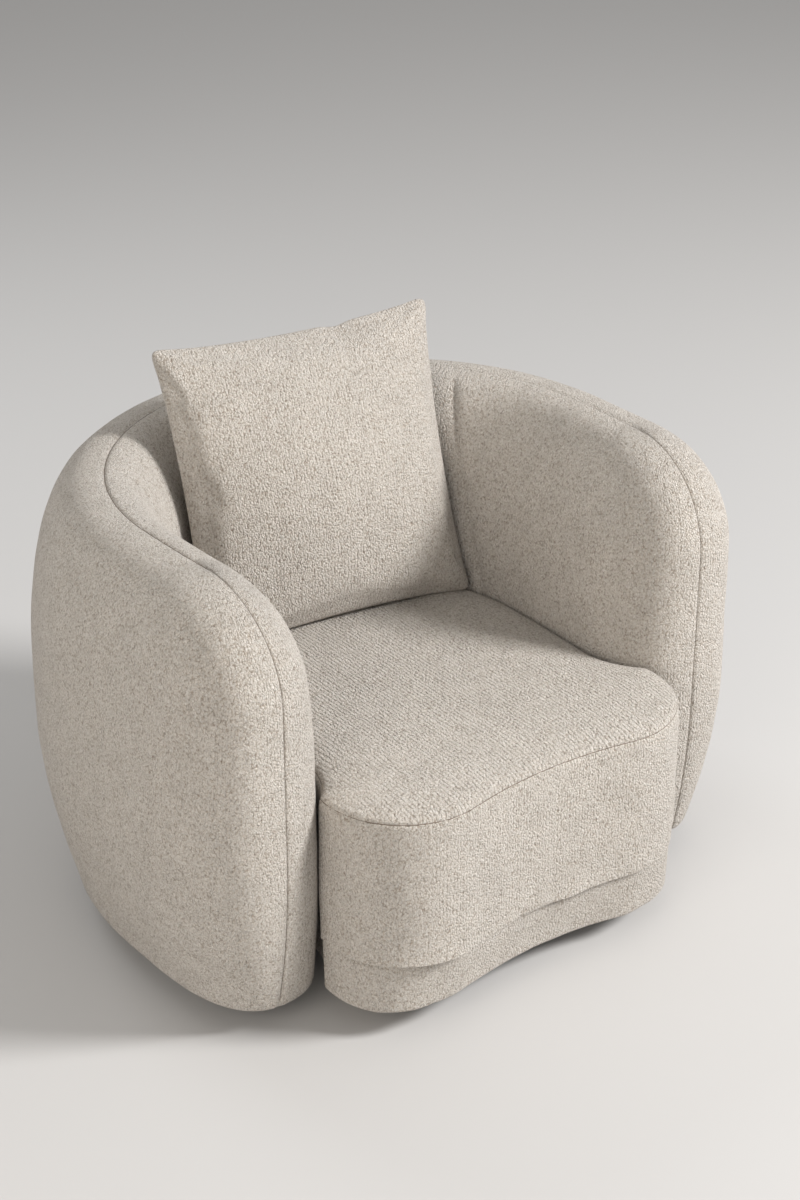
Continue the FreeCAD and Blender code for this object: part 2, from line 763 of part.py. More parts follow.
def webbing():
    """Straps from front to back, and straps across that lie on them."""
    half = size("strap_width") / 2
    thickness = size("strap_thickness")
    reach = size("side_rail_x") - size("rail_thickness") / 2
    back_y = size("rim_centre_y")
    bottom = value(RAIL_TOP)

    straps = []
    for x in centred(int(size("lengthways_straps")), size("strap_pitch")):
        start = cross_rail_front()
        end = back_y + math.sqrt(reach ** 2 - (abs(x) + half) ** 2)
        straps.append(Part.makeBox(2 * half, end - start, thickness, at(x - half, start, bottom)))
    shaped("webbing_lengthways", Part.makeCompound(straps))

    straps = []
    first_y = cross_rail_front() + size("rail_thickness") + half
    for number in range(int(size("crossways_straps"))):
        y = first_y + number * size("strap_pitch")
        behind = max(y + half - back_y, 0)
        length = math.sqrt(reach ** 2 - behind ** 2)
        corner = at(-length, y - half, bottom + thickness)
        straps.append(Part.makeBox(2 * length, 2 * half, thickness, corner))
    shaped("webbing_crossways", Part.makeCompound(straps))

    strip_body("deck_felt", SeatOutline(size("felt_inset")).runs(),
               "Sizes.deck_height - Sizes.felt_thickness", "Sizes.felt_thickness")


# Seat upholstery

# The crown of the seat: share of the crown's height reached at each inset from the seam
CROWN = ((6, 0.32), (20, 0.62), (48, 0.86), (100, 1.0))


def seat_upholstery():
    seam = size("seat_seam_height")
    crown = size("seat_crown")
    hem = size("boxing_hem_height")
    cover = size("cover_thickness")
    gap = size("layer_gap")
    panel = size("top_panel_thickness")
    deck = size("deck_height")
    fullness = size("boxing_fullness")

    foam_levels = [(cover + gap, deck), (cover + gap, seam - gap)]
    foam_levels += [(cover + gap + inset, seam - gap + (crown - panel) * share) for inset, share in CROWN]
    shaped("seat_foam_core", seat_loft(foam_levels, hidden=True))

    outer = seat_loft([(0, seam)] + [(inset, seam + crown * share) for inset, share in CROWN])
    under_crown = [(cover + inset, seam + (crown - panel) * share) for inset, share in CROWN]
    inner = seat_loft([(cover, deck), (cover, seam)] + under_crown, hidden=True)
    shaped("seat_top_panel", outer.cut(inner))

    band = seat_loft([(fullness / 2, hem), (-fullness, (hem + seam) / 2), (0, seam)])
    shaped("seat_boxing", band.cut(seat_prism(cover, hem - cover, seam + cover)))


def plinth_cover():
    setback = size("plinth_setback")
    bottom = value(BOARD_BOTTOM)
    top = value(RAIL_TOP)
    hem = size("boxing_hem_height")
    skirt = seat_loft([(setback + size("plinth_lean"), bottom), (setback, hem), (setback, top)])
    hollow = seat_prism(setback + size("plinth_cover_thickness"), bottom - setback, top + setback)
    shaped("plinth_cover", skirt.cut(hollow).common(front_box(size("slot_end_y"))))


# Tub upholstery

FULL_TURN = 360


def tub_upholstery():
    cover = size("cover_thickness")
    gap = size("layer_gap")
    bottom = value(BOARD_BOTTOM)
    board_top = value(BOARD_TOP)
    reach = 2 * size("rim_radius")
    outward, inward = cavity_offsets()

    cavity = prism(rim_strip(outward, -inward, size("cavity_end_y")), board_top - cover,
                   size("ring_top_height") + gap)
    underneath = Part.makeBox(2 * reach, 2 * reach, board_top, at(-reach, -reach))
    foam = wall_loft(cover + gap, bottom - cover, hidden=True).cut([cavity, underneath])
    joins = [size("foam_join_bearing") * step for step in (-3, -1, 1, 3)]
    left_arm, right_arm = foam_sector(foam, joins[-1], joins[0] + FULL_TURN, gap).Solids
    if left_arm.CenterOfMass.x > right_arm.CenterOfMass.x:
        left_arm, right_arm = right_arm, left_arm
    shaped("left_arm_foam", left_arm)
    shaped("right_arm_foam", right_arm)
    back_labels = ("left_back_foam", "middle_back_foam", "right_back_foam")
    for label, start, end in zip(back_labels, joins[:-1], joins[1:]):
        shaped(label, foam_sector(foam, start, end, gap))

    skin = wall_loft(0, bottom).cut(wall_loft(cover, bottom - cover, hidden=True))
    shaped("outside_cover", skin.cut(rim_curtain(gap / 2)))

    inside = skin.common(rim_curtain(-gap / 2))
    slot_y = size("slot_end_y") - gap
    tucked = Part.makeBox(2 * reach, 2 * reach, size("tuck_in_height"), at(-reach, slot_y))
    inside = inside.cut(tucked)
    shaped("inside_back_cover", inside.common(back_wedge(-gap / 2)))
    arms = inside.cut(back_wedge(gap / 2)).Solids
    arms.sort(key=lambda solid: solid.CenterOfMass.x)
    shaped("inside_left_arm_cover", arms[0])
    shaped("inside_right_arm_cover", arms[-1])


def foam_sector(foam, start, end, gap):
    """The stretch of the foam between two upright cuts at bearings in degrees."""
    first, last = math.radians(start), math.radians(end)
    centre = at(0, size("rim_centre_y"))
    middle = (first + last) / 2
    apex = polar(centre, gap / 2 / abs(math.sin((last - first) / 2)), middle)
    reach = 4 * size("rim_radius")
    corners = [apex] + [polar(apex, reach, first + (last - first) * step / 4) for step in range(5)]
    runs = [[corner, following] for corner, following in zip(corners, corners[1:] + corners[:1])]
    return foam.common(prism(runs, 0, size("rim_height")))


def back_wedge(gap):
    """The upright wedge behind the joins of the inside back, widened by a gap."""
    bearing = math.radians(size("inside_join_bearing"))
    reach = 4 * size("rim_radius")
    apex = at(0, size("rim_centre_y") - gap / math.sin(bearing))
    right = polar(apex, reach, bearing)
    far = at(right.x, apex.y + reach)
    points = [apex, right, far, at(-far.x, far.y), at(-right.x, right.y)]
    runs = [[first, second] for first, second in zip(points, points[1:] + points[:1])]
    return prism(runs, 0, 2 * size("rim_height"))


# Loose cushion

# Each level of a cushion half: share of its half side, share of its half thickness,
# and how far its sides bow in (or, below zero, out) as a share of its draw
CUSHION_LEVELS = (
    (1.0, 0.0, 1.0),
    (0.94, 0.26, 0.4),
    (0.82, 0.54, -0.4),
    (0.64, 0.78, -1.2),
    (0.42, 0.93, -1.7),
    (0.18, 1.0, -1.0),
)


def cushion_half(inset, side):
    """Half of the cushion, from the seam's plane to its crown on one side."""
    half = size("cushion_side") / 2 - inset
    depth = size("cushion_thickness") / 2 - inset
    wires = []
    for spread, rise, bow in CUSHION_LEVELS:
        reach = half * spread
        sag = size("cushion_draw") * bow
        y = side * depth * rise
        edges = []
        for turn in range(4):
            cos, sin = math.cos(turn * math.pi / 2), math.sin(turn * math.pi / 2)
            points = [(-reach, -reach), (0, -reach + sag), (reach, -reach)]
            turned = [Vector(x * cos - z * sin, y, x * sin + z * cos) for x, z in points]
            edges.append(Part.Arc(*turned).toShape())
        wires.append(Part.Wire(edges))
    return Part.makeLoft(wires, True, True)


def cushion_filling(inset):
    """The room inside the cushion's cover, drawn in by an inset, with flat sloping sides."""
    half = size("cushion_side") / 2 - size("cushion_draw") - inset
    depth = size("cushion_thickness") / 2 - inset
    levels = [(half * spread, depth * rise) for spread, rise, _ in CUSHION_LEVELS[::2] + CUSHION_LEVELS[-1:]]
    slices = []
    for (wide, low), (narrow, high) in zip(levels[:-1], levels[1:]):
        slab = Part.makeWedge(-wide, low, -wide, -narrow, -narrow, wide, high, wide, narrow, narrow)
        slices += [slab, slab.mirror(at(0, 0), at(0, 1))]
    return slices[0].fuse(slices[1:]).removeSplitter()


def cushion_place():
    """The cushion stands on its lower corners and leans back towards the inside of the tub."""
    half = size("cushion_side") / 2
    lean = math.radians(size("cushion_lean"))
    inside_back = size("rim_centre_y") + size("rim_radius") - size("wall_in")
    y = inside_back - size("cushion_back_gap") - half * math.sin(-lean)
    height = size("seat_seam_height") + size("cushion_corner_rise") + half * math.cos(lean)
    turn = Rotation(Vector(0, 0, 1), size("cushion_turn"))
    lean_back = Rotation(Vector(1, 0, 0), size("cushion_lean"))
    return Placement(at(size("cushion_x"), y, height), turn.multiply(lean_back))


def loose_cushion():
    cover = size("cushion_cover_thickness")
    room = cushion_filling(cover)
    pieces = (
        ("cushion_front_panel", cushion_half(0, -1).cut(room)),
        ("cushion_back_panel", cushion_half(0, 1).cut(room)),
        ("cushion_insert", cushion_filling(cover + size("layer_gap"))),
    )
    place = cushion_place()
    for label, shape in pieces:
        piece = doc.addObject("Part::Feature", label)
        piece.Shape = shape
        piece.Placement = place
        keep(piece, label)


floor_glides()
base_disc()
swivel_plate("swivel_lower_plate", DISC_TOP, "Sizes.pin_radius", access=True)
plate_screws("lower_plate_screws", LOWER_PLATE_TOP, upwards=False)
bearing_ring()
swivel_pin()
pin_washer()
pin_nut()
swivel_plate("swivel_upper_plate", UPPER_PLATE_BOTTOM, "Sizes.pin_radius + Sizes.pin_clearance", access=False)
plate_screws("upper_plate_screws", UPPER_PLATE_BOTTOM, upwards=True)
bottom_board()
dust_cover()
wall_panels()
ribs()
seat_rails()
webbing()
plinth_cover()
seat_upholstery()
tub_upholstery()
loose_cushion()

doc.recompute()
for feature in doc.Objects:
    if "Invalid" in feature.State or "Error" in feature.State:
        raise RuntimeError("%s did not build: %s" % (feature.Label, feature.State))
for piece in subparts:
    if piece.Shape.isNull() or not piece.Shape.isValid() or piece.Shape.Volume <= 0:
        raise RuntimeError("%s has no valid shape" % piece.Label)

os.makedirs("parts", exist_ok=True)
for piece in subparts:
    piece.Shape.exportStep("parts/%s.step" % piece.Label)
print("%d sub-parts written" % len(subparts))
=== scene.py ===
# Tub chair dressed in loop-yarn cloth: metres, +Z up, the chair looks along -Y

import json
import math

import bmesh
import bpy
import numpy as np
from mathutils import Matrix, Vector, noise


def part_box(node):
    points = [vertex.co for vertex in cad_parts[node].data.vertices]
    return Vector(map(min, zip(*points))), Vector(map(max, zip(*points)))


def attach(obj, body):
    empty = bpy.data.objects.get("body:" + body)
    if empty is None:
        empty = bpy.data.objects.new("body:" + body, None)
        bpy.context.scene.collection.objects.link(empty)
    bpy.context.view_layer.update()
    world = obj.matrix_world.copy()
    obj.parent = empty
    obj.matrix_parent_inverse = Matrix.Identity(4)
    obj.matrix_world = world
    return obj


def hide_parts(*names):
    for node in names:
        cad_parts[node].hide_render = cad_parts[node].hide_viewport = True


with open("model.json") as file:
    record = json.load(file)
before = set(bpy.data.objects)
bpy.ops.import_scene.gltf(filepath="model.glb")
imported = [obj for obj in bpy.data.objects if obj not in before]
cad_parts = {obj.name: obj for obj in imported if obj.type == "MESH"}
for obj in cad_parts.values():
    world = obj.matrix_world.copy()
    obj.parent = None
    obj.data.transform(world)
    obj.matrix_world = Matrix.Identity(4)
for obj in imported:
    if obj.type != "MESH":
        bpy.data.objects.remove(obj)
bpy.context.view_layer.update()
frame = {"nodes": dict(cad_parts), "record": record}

MM = 0.001

# Sizes read from the frame
outer_low, outer_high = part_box("outside_cover")
boxing_low, boxing_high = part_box("seat_boxing")
plinth_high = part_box("plinth_cover")[1]
crown_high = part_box("seat_top_panel")[1].z
HEM_Z = outer_low.z
RIM_Z = outer_high.z

# Tub wall, seen from above: a half circle that runs on into two arms
RIM_RADIUS = 0.380
RIM_CENTRE_Y = -0.042
ARM_LINE_RADIUS = 3.100
ARM_FRONT_Y = outer_low.y
BULGE_Z = 0.300
BULGE_OUT = outer_high.x - RIM_RADIUS
HEM_OUT = 0.075
WALL_IN = 0.115
INNER_ROUNDING = 0.330
ARM_FRONT_ROUNDING = 0.150
ARM_FRONT_TUCK = 0.028
OUTSIDE_OVAL = 2.8
INSIDE_OVAL = 2.2
HEM_CURVE = 1.5
HEM_ROLL = 0.009
HEM_TURN_UNDER = 0.026
HEM_TURN_MIDDLE = 0.0156
HEM_DROP = 0.0012
SLOT_END_Y = -0.149
TUCK_IN_Z = 0.250
TUCK_IN_DEPTH = 0.020

# Seat, seen from above: two lobes with a bay between them
LOBE_RADIUS = 0.128
LOBE_X = 0.168
LOBE_Y = -0.328
BAY_RADIUS = 0.630
SEAT_GAP = 0.003
SEAM_Z = boxing_high.z
BOXING_HEM_Z = boxing_low.z
CROWN = crown_high - SEAM_Z
CROWN_REACH = 0.100
BOXING_FULLNESS = 0.002
PLINTH_SETBACK = 0.006
PLINTH_FRONT_LEAN = 0.0145
PLINTH_SIDE_SETBACK = 0.0015
PLINTH_SIDE_LEAN = 0.002
PLINTH_ROLL = 0.007
PLINTH_TURN_UNDER = 0.024
BOXING_HEM_RADIUS = 0.0024
BOXING_TURN_UP = 0.040
BOXING_TURN_LEAN = 0.0004
HEM_FLARE = 0.0055
HEM_FLARE_HEIGHT = 0.022
GROOVE_HEIGHT = 0.007

# Loose cushion
CUSHION_SIDE = 0.457
CUSHION_THICKNESS = 0.165
CUSHION_PLACE = Vector((0.022, 0.132, 0.5795))
CUSHION_TURN = math.radians(-7)
CUSHION_LEAN = math.radians(-18)

# Sewn seams: a narrow valley in the cloth, with a wider and shallower one round it
SEAM_DEPTH = 0.0034
SEAM_WIDTH = 0.0022
SEAM_CREST = 0.002
NARROW_SHARE = 0.85
WIDE_VALLEY = 4
SEAT_SEAM_INWARD = 0.90
SEAT_SEAM_DOWN = 0.45

# Join of the inside back and an inside arm: bearings from +Y, its softer valley, and where that fades out
JOIN_BEARING_TOP = math.radians(57)
JOIN_BEARING_LOW = math.radians(76)
JOIN_DEPTH = 0.0055
JOIN_WIDTH = 0.0045
JOIN_START_Z = 0.30
JOIN_FADE = 0.05
JOIN_CLEAR_OF_SEAM = 0.009
JOIN_CLEAR_FADE = 0.030

# Unevenness of the padding: size, depth and seed of each wave
TUB_OUTSIDE_WAVES = ((0.16, 2.2 * MM, 1), (0.045, 0.6 * MM, 3))
TUB_INSIDE_WAVES = ((0.16, 2.2 * MM, 2), (0.045, 0.6 * MM, 3))
SEAT_WAVES = ((0.13, 2.6 * MM, 5), (0.05, 0.8 * MM, 6))
BOXING_WAVES = ((0.12, 1.8 * MM, 8), (0.04, 0.6 * MM, 9))
PLINTH_WAVES = ((0.10, 1.6 * MM, 11), (0.035, 0.5 * MM, 12))
SEED_SHIFT = (3.7, 1.9, 5.3)

# How far from a seam the waves reach their full depth
TUB_WAVE_FADE = 0.05
SEAT_WAVE_FADE = 0.04


# Mesh helpers

def grid_mesh(name, points, uvs, keep=None):
    """A sheet through a grid of points (rows, columns, 3), with cloth coordinates in metres."""
    rows, columns = points.shape[:2]
    mesh = bpy.data.meshes.new(name)
    index = np.arange(rows * columns).reshape(rows, columns)
    faces = np.stack([index[:-1, :-1], index[:-1, 1:], index[1:, 1:], index[1:, :-1]], axis=-1)
    if keep is not None:
        faces = faces[keep]
    faces = faces.reshape(-1, 4)
    mesh.from_pydata(points.reshape(-1, 3).tolist(), [], faces.tolist())
    layer = mesh.uv_layers.new(name="Cloth")
    layer.data.foreach_set("uv", uvs.reshape(-1, 2)[faces.reshape(-1)].astype(np.float32).ravel())
    mesh.polygons.foreach_set("use_smooth", np.ones(len(faces), bool))
    mesh.validate()
    piece = bpy.data.objects.new(name, mesh)
    bpy.context.collection.objects.link(piece)
    return piece


def grid_normals(points, flip=False):
    """Unit normals of a sheet, from the differences between neighbouring points."""
    along = np.gradient(points, axis=1)
    up = np.gradient(points, axis=0)
    normals = np.cross(along, up)
    normals /= np.maximum(np.linalg.norm(normals, axis=2, keepdims=True), 1e-12)
    return -normals if flip else normals


def soft_waves(points, waves):
    """Shallow unevenness of padded cloth at each point, the sum of its waves."""
    push = np.zeros(points.shape[:2])
    for size, depth, seed in waves:
        shift = Vector([seed * part for part in SEED_SHIFT])
        flat = points.reshape(-1, 3) / size
        values = [noise.noise(Vector(point) + shift) for point in flat]
        push += depth * np.array(values).reshape(points.shape[:2])
    return push


def valley(distance, depth=SEAM_DEPTH, width=SEAM_WIDTH):
    """How far the cloth sinks at a distance from its seam."""
    narrow = NARROW_SHARE * np.exp(-distance / width)
    wide = (1 - NARROW_SHARE) * np.exp(-distance / (WIDE_VALLEY * width))
    return depth * (narrow + wide)


def fade_in(values, start, reach):
    """Shares that rise from 0 at the start to 1 at the end of the reach."""
    return np.clip((values - start) / reach, 0, 1)


def crowded(count, power):
    """Shares from 0 to 1 that lie closer together near 0."""
    return np.linspace(0, 1, count) ** power


def at_height(plan, z):
    """A row of points at one height."""
    return np.column_stack([plan, np.full(len(plan), z)])


def with_mirror(half):
    """An outline from its right half, which ends on the middle line."""
    other = half[::-1][1:] * np.array([-1, 1])
    return np.concatenate([half, other])


def running_length(path):
    """How far each point lies along its path."""
    steps = np.linalg.norm(np.diff(path, axis=0), axis=1)
    return np.concatenate([[0], np.cumsum(steps)])


def cloth_places(row, column):
    """Cloth coordinates of a sheet, from the lengths along one of its rows and one of its columns."""
    return np.stack(np.meshgrid(running_length(row), running_length(column)), axis=-1)


# Tub wall

# Nose of an arm, seen from above: a long superellipse
NOSE_LENGTH = 1.35
NOSE_LEAD = 0.025
NOSE_OVAL = 2.4

# Rows and columns of its sheets, closer together near the seam
BACK_COLUMNS = 150
ARM_COLUMNS = 70
NOSE_COLUMNS = 60
NOSE_CROWDING = 1.7
HEM_ROWS = 7
LOWER_ROWS = 44
UPPER_ROWS = 90
UPPER_CROWDING = 0.8


def oval(share, exponent):
    """Height of a superellipse's quarter over a share of its width."""
    share = np.clip(share, 0, 1)
    return (1 - share ** exponent) ** (1 / exponent)


def wall_offsets(z, inset=0.0):
    """How far the wall stands out of and inside its rim line at a height, and where the arms end."""
    below = max((BULGE_Z - z) / (BULGE_Z - HEM_Z), 0.0)
    if below > 0:
        outward = BULGE_OUT - (BULGE_OUT - HEM_OUT) * below ** HEM_CURVE
    else:
        outward = BULGE_OUT * float(oval((z - BULGE_Z) / (RIM_Z - BULGE_Z), OUTSIDE_OVAL))
    inward = WALL_IN * float(oval((z - RIM_Z + INNER_ROUNDING) / INNER_ROUNDING, INSIDE_OVAL))
    lift = min(max((z - RIM_Z + ARM_FRONT_ROUNDING) / ARM_FRONT_ROUNDING, 0.0), 1.0)
    front_y = ARM_FRONT_Y + ARM_FRONT_ROUNDING * (1 - math.sqrt(1 - lift ** 2)) + ARM_FRONT_TUCK * below ** 2
    return outward - inset, inward - inset, front_y + inset


def around(centre, radius, bearings):
    """Points at bearings from +Y towards +X."""
    return np.stack([centre[0] + radius * np.sin(bearings), centre[1] + radius * np.cos(bearings)], axis=1)


def wall_plan(outward, inward, front_y, outside):
    """One side of the wall at one height: from the seam on the arm's front to the middle of the back."""
    arm_centre = (RIM_RADIUS - ARM_LINE_RADIUS, RIM_CENTRE_Y)
    half_width = max((outward + inward) / 2, 1e-5)
    path = ARM_LINE_RADIUS + (outward - inward) / 2
    length = NOSE_LENGTH * half_width + NOSE_LEAD
    tip = math.acos((front_y - RIM_CENTRE_Y) / path)
    start = tip - length / path
    aside = min(max((outward - inward) / (2 * half_width), -1.0), 1.0)
    seam = math.acos(-math.copysign(abs(aside) ** (NOSE_OVAL / 2), aside))
    if outside:
        turn = seam * (1 - crowded(NOSE_COLUMNS, NOSE_CROWDING))
        reach = outward
    else:
        turn = seam + (math.pi - seam) * crowded(NOSE_COLUMNS, NOSE_CROWDING)
        reach = -inward
    sideways = half_width * np.sign(np.cos(turn)) * np.abs(np.cos(turn)) ** (2 / NOSE_OVAL)
    ahead = length * np.abs(np.sin(turn)) ** (2 / NOSE_OVAL)
    quarter = math.pi / 2
    return np.concatenate([
        around(arm_centre, path + sideways, start + ahead / path),
        around(arm_centre, ARM_LINE_RADIUS + reach, np.linspace(start, quarter, ARM_COLUMNS)[1:]),
        around((0, RIM_CENTRE_Y), RIM_RADIUS + reach, np.linspace(quarter, 0, BACK_COLUMNS)[1:]),
    ])


def wall_rows():
    """Pairs of height and inset, from under the hem up to the rim."""
    low = HEM_Z - HEM_DROP
    rows = [(low, HEM_TURN_UNDER), (low, HEM_TURN_MIDDLE)]
    for angle in np.linspace(0, math.pi / 2, HEM_ROWS):
        rise = HEM_ROLL * (1 - math.cos(angle)) - HEM_DROP * math.cos(angle)
        rows.append((HEM_Z + rise, HEM_ROLL * (1 - math.sin(angle))))
    rows += [(z, 0.0) for z in np.linspace(HEM_Z + HEM_ROLL, BULGE_Z, LOWER_ROWS)[1:]]
    angles = np.linspace(0, math.pi / 2, UPPER_ROWS)[1:]
    shares = np.sin(angles) ** UPPER_CROWDING
    rows += [(BULGE_Z + (RIM_Z - BULGE_Z) * share, 0.0) for share in shares]
    return rows


def rim_offset(points):
    """Signed distance of each point from the upright sheet through the rim line and the arm fronts."""
    x = np.abs(points[..., 0])
    y = points[..., 1]
    arm_x = RIM_RADIUS - ARM_LINE_RADIUS
    back = np.hypot(x, y - RIM_CENTRE_Y) - RIM_RADIUS
    arm = np.hypot(x - arm_x, y - RIM_CENTRE_Y) - ARM_LINE_RADIUS
    return np.where(y > RIM_CENTRE_Y, back, arm)


def join_distance(points):
    """Distance of each inside point from the join between the inside back and an inside arm."""
    share = np.clip((RIM_Z - points[..., 2]) / (RIM_Z - SEAM_Z), 0, 1)
    bearing = JOIN_BEARING_TOP + (JOIN_BEARING_LOW - JOIN_BEARING_TOP) * share
    x = np.abs(points[..., 0])
    y = points[..., 1] - RIM_CENTRE_Y
    radius = np.hypot(x, y)
    return radius * np.abs(np.arctan2(x, y) - bearing)


def tub_sheet(name, outside):
    """Half of the tub's skin, outside or inside the seam along its rim and arm fronts."""
    rows = []
    for z, inset in wall_rows():
        outward, inward, front_y = wall_offsets(max(z, HEM_Z), inset)
        half = wall_plan(outward, inward, front_y, outside)
        rows.append(at_height(with_mirror(half), z))
    points = np.array(rows)
    uvs = cloth_places(points[len(rows) // 2], points[:, points.shape[1] // 2])

    direction = grid_normals(points, flip=not outside)
    seam_distance = np.abs(rim_offset(points))
    push = soft_waves(points, TUB_OUTSIDE_WAVES if outside else TUB_INSIDE_WAVES)
    push *= fade_in(seam_distance, 0, TUB_WAVE_FADE)
    push -= valley(seam_distance)
    if not outside:
        upper = fade_in(points[..., 2], JOIN_START_Z, JOIN_FADE)
        upper *= fade_in(seam_distance, JOIN_CLEAR_OF_SEAM, JOIN_CLEAR_FADE)
        push -= upper * valley(join_distance(points), JOIN_DEPTH, JOIN_WIDTH)
    crest = seam_distance < SEAM_CREST
    direction[crest] = seam_direction(points[crest])
    points = points + push[..., None] * direction

    if outside:
        return grid_mesh(name, points, uvs)
    centres = (points[:-1, :-1] + points[1:, 1:]) / 2
    above_seat = (centres[..., 1] < SLOT_END_Y) | (centres[..., 2] > TUCK_IN_Z)
    tucked = np.maximum(points[..., 2], TUCK_IN_Z - TUCK_IN_DEPTH)
    points[..., 2] = np.where(points[..., 1] > SLOT_END_Y, tucked, points[..., 2])
    return grid_mesh(name, points, uvs, above_seat)


def seam_direction(points):
    """Out of the cloth at the seam: up along the crest, forwards down the arm fronts."""
    corner_z = RIM_Z - ARM_FRONT_ROUNDING
    up = np.clip((points[:, 2] - corner_z) / ARM_FRONT_ROUNDING, 0, 1)
    on_front = points[:, 1] < ARM_FRONT_Y + ARM_FRONT_ROUNDING
    lift = np.where(on_front, up, 1.0)
    ahead = np.sqrt(np.maximum(1 - lift ** 2, 0))
    return np.stack([np.zeros(len(points)), -ahead, lift], axis=1)


# Seat

SEAT_MIDDLE = np.array((0.0, -0.125))
CROWN_SLOPE = 1.15

# Columns round half of its outline
BAY_COLUMNS = 40
LOBE_COLUMNS = 90
ARM_FRONT_COLUMNS = 36
INSIDE_ARM_COLUMNS = 30
INSIDE_BACK_COLUMNS = 90

# Rows of its sheets, closer together near the seam
CROWN_ROWS = 46
CROWN_CROWDING = 2.2
MIDDLE_ROWS = 25
HEM_BEND_ROWS = 8
BOXING_ROWS = 60
BOXING_CROWDING = 1.8
PLINTH_ROWS = 40

# Hem of the boxing: where it starts clear of the arm, and the middles and widths of its two open places
HEM_CLEAR_Y = -0.31
HEM_CLEAR_FADE = 0.05
LEFT_OPEN_X = -0.19
LEFT_OPEN_WIDTH = 0.07
BAY_OPEN_X = 0.045
BAY_OPEN_WIDTH = 0.035
BAY_OPEN_SHARE = 0.8

# Upright fold of the boxing in the bay
FOLD_X = 0.012
FOLD_WIDTH = 0.006
FOLD_DEPTH = 0.0016
FOLD_FADE = 0.03
FRONT_Y = -0.30

# Where the plinth's front passes into its sides, counted outwards from the lobe's middle
BESIDE_ARM_START = 0.03
BESIDE_ARM_FADE = 0.07


def seat_plan(inset):
    """The seat's outline drawn in by an inset: bay, lobe, arm front, inside arm and inside back."""
    outward, inward, front_y = wall_offsets(BULGE_Z)
    arm_x = RIM_RADIUS - ARM_LINE_RADIUS
    room = SEAT_GAP + inset
    nose_radius = (outward + inward) / 2
    nose_path = ARM_LINE_RADIUS + (outward - inward) / 2
    end = math.acos((front_y + nose_radius - RIM_CENTRE_Y) / nose_path)
    nose = np.array((arm_x + nose_path * math.sin(end), RIM_CENTRE_Y + nose_path * math.cos(end)))
    nose_radius += room
    lobe = np.array((LOBE_X, LOBE_Y))
    lobe_radius = LOBE_RADIUS - inset
    reach = BAY_RADIUS + LOBE_RADIUS
    bay_bearing = math.asin(LOBE_X / reach)
    bay = (0, LOBE_Y - reach * math.cos(bay_bearing))

    across = nose - lobe
    distance = np.hypot(*across)
    along = (distance ** 2 + lobe_radius ** 2 - nose_radius ** 2) / (2 * distance)
    aside = math.sqrt(max(lobe_radius ** 2 - along ** 2, 0))
    unit = across / distance
    corner = lobe + unit * along + np.array((unit[1], -unit[0])) * aside
    lobe_end = math.atan2(*(corner - lobe)) % (2 * math.pi)
    nose_start = math.atan2(*(corner - nose)) % (2 * math.pi)
    quarter = math.pi / 2
    bay_bearings = np.linspace(0, bay_bearing, BAY_COLUMNS)
    lobe_bearings = np.linspace(math.pi + bay_bearing, lobe_end, LOBE_COLUMNS)
    nose_bearings = np.linspace(nose_start, end + math.pi, ARM_FRONT_COLUMNS)
    arm_bearings = np.linspace(end, quarter, INSIDE_ARM_COLUMNS)
    back_bearings = np.linspace(quarter, 0, INSIDE_BACK_COLUMNS)
    return with_mirror(np.concatenate([
        around(bay, BAY_RADIUS + inset, bay_bearings),
        around(lobe, lobe_radius, lobe_bearings)[1:],
        around(nose, nose_radius, nose_bearings)[1:],
        around((arm_x, RIM_CENTRE_Y), ARM_LINE_RADIUS - inward - room, arm_bearings)[1:],
        around((0, RIM_CENTRE_Y), RIM_RADIUS - inward - room, back_bearings)[1:],
    ]))


def outward_directions(points):
    """Level unit vectors that point out of a ring of points."""
    step = np.roll(points, -1, axis=0)[:, :2] - np.roll(points, 1, axis=0)[:, :2]
    step[0], step[-1] = step[1], step[-2]
    out = np.stack([step[:, 1], -step[:, 0]], axis=1)
    out /= np.linalg.norm(out, axis=1, keepdims=True)
    return np.column_stack([out, np.zeros(len(points))])


def seat_top():
    """The crowned top of the seat, closed at its middle."""
    rows = []
    insets = CROWN_REACH * crowded(CROWN_ROWS, CROWN_CROWDING)
    for inset in insets:
        share = inset / CROWN_REACH
        z = SEAM_Z + CROWN * math.sqrt(1 - (1 - share) ** 2)
        rows.append(at_height(seat_plan(inset), z))
    last = rows[-1]
    for share in np.linspace(1, 0, MIDDLE_ROWS + 1)[1:]:
        plan = SEAT_MIDDLE + (last[:, :2] - SEAT_MIDDLE) * share
        rows.append(at_height(plan, crown_high))
    points = np.array(rows)
    distance = np.concatenate([insets * CROWN_SLOPE, np.full(MIDDLE_ROWS, CROWN_REACH)])[:, None]
    push = soft_waves(points, SEAT_WAVES)
    points[..., 2] += push * fade_in(distance, 0, SEAT_WAVE_FADE)
    sink = valley(distance)
    points[..., 2] -= SEAT_SEAM_DOWN * sink
    points -= SEAT_SEAM_INWARD * sink[..., None] * outward_directions(points[0])[None]
    return grid_mesh("seat_top", points, points[..., :2])


def hem_flare(plan):
    """Where along its length the hem of the boxing stands off the plinth, from 0 to 1."""
    x, y = plan[:, 0], plan[:, 1]
    clear_of_arm = fade_in(-y, -HEM_CLEAR_Y, HEM_CLEAR_FADE)
    left_lobe = np.where(x < LEFT_OPEN_X, 1.0, np.exp(-((x - LEFT_OPEN_X) / LEFT_OPEN_WIDTH) ** 2))
    bay_right = np.exp(-((x - BAY_OPEN_X) / BAY_OPEN_WIDTH) ** 2)
    return clear_of_arm * (left_lobe + BAY_OPEN_SHARE * bay_right)


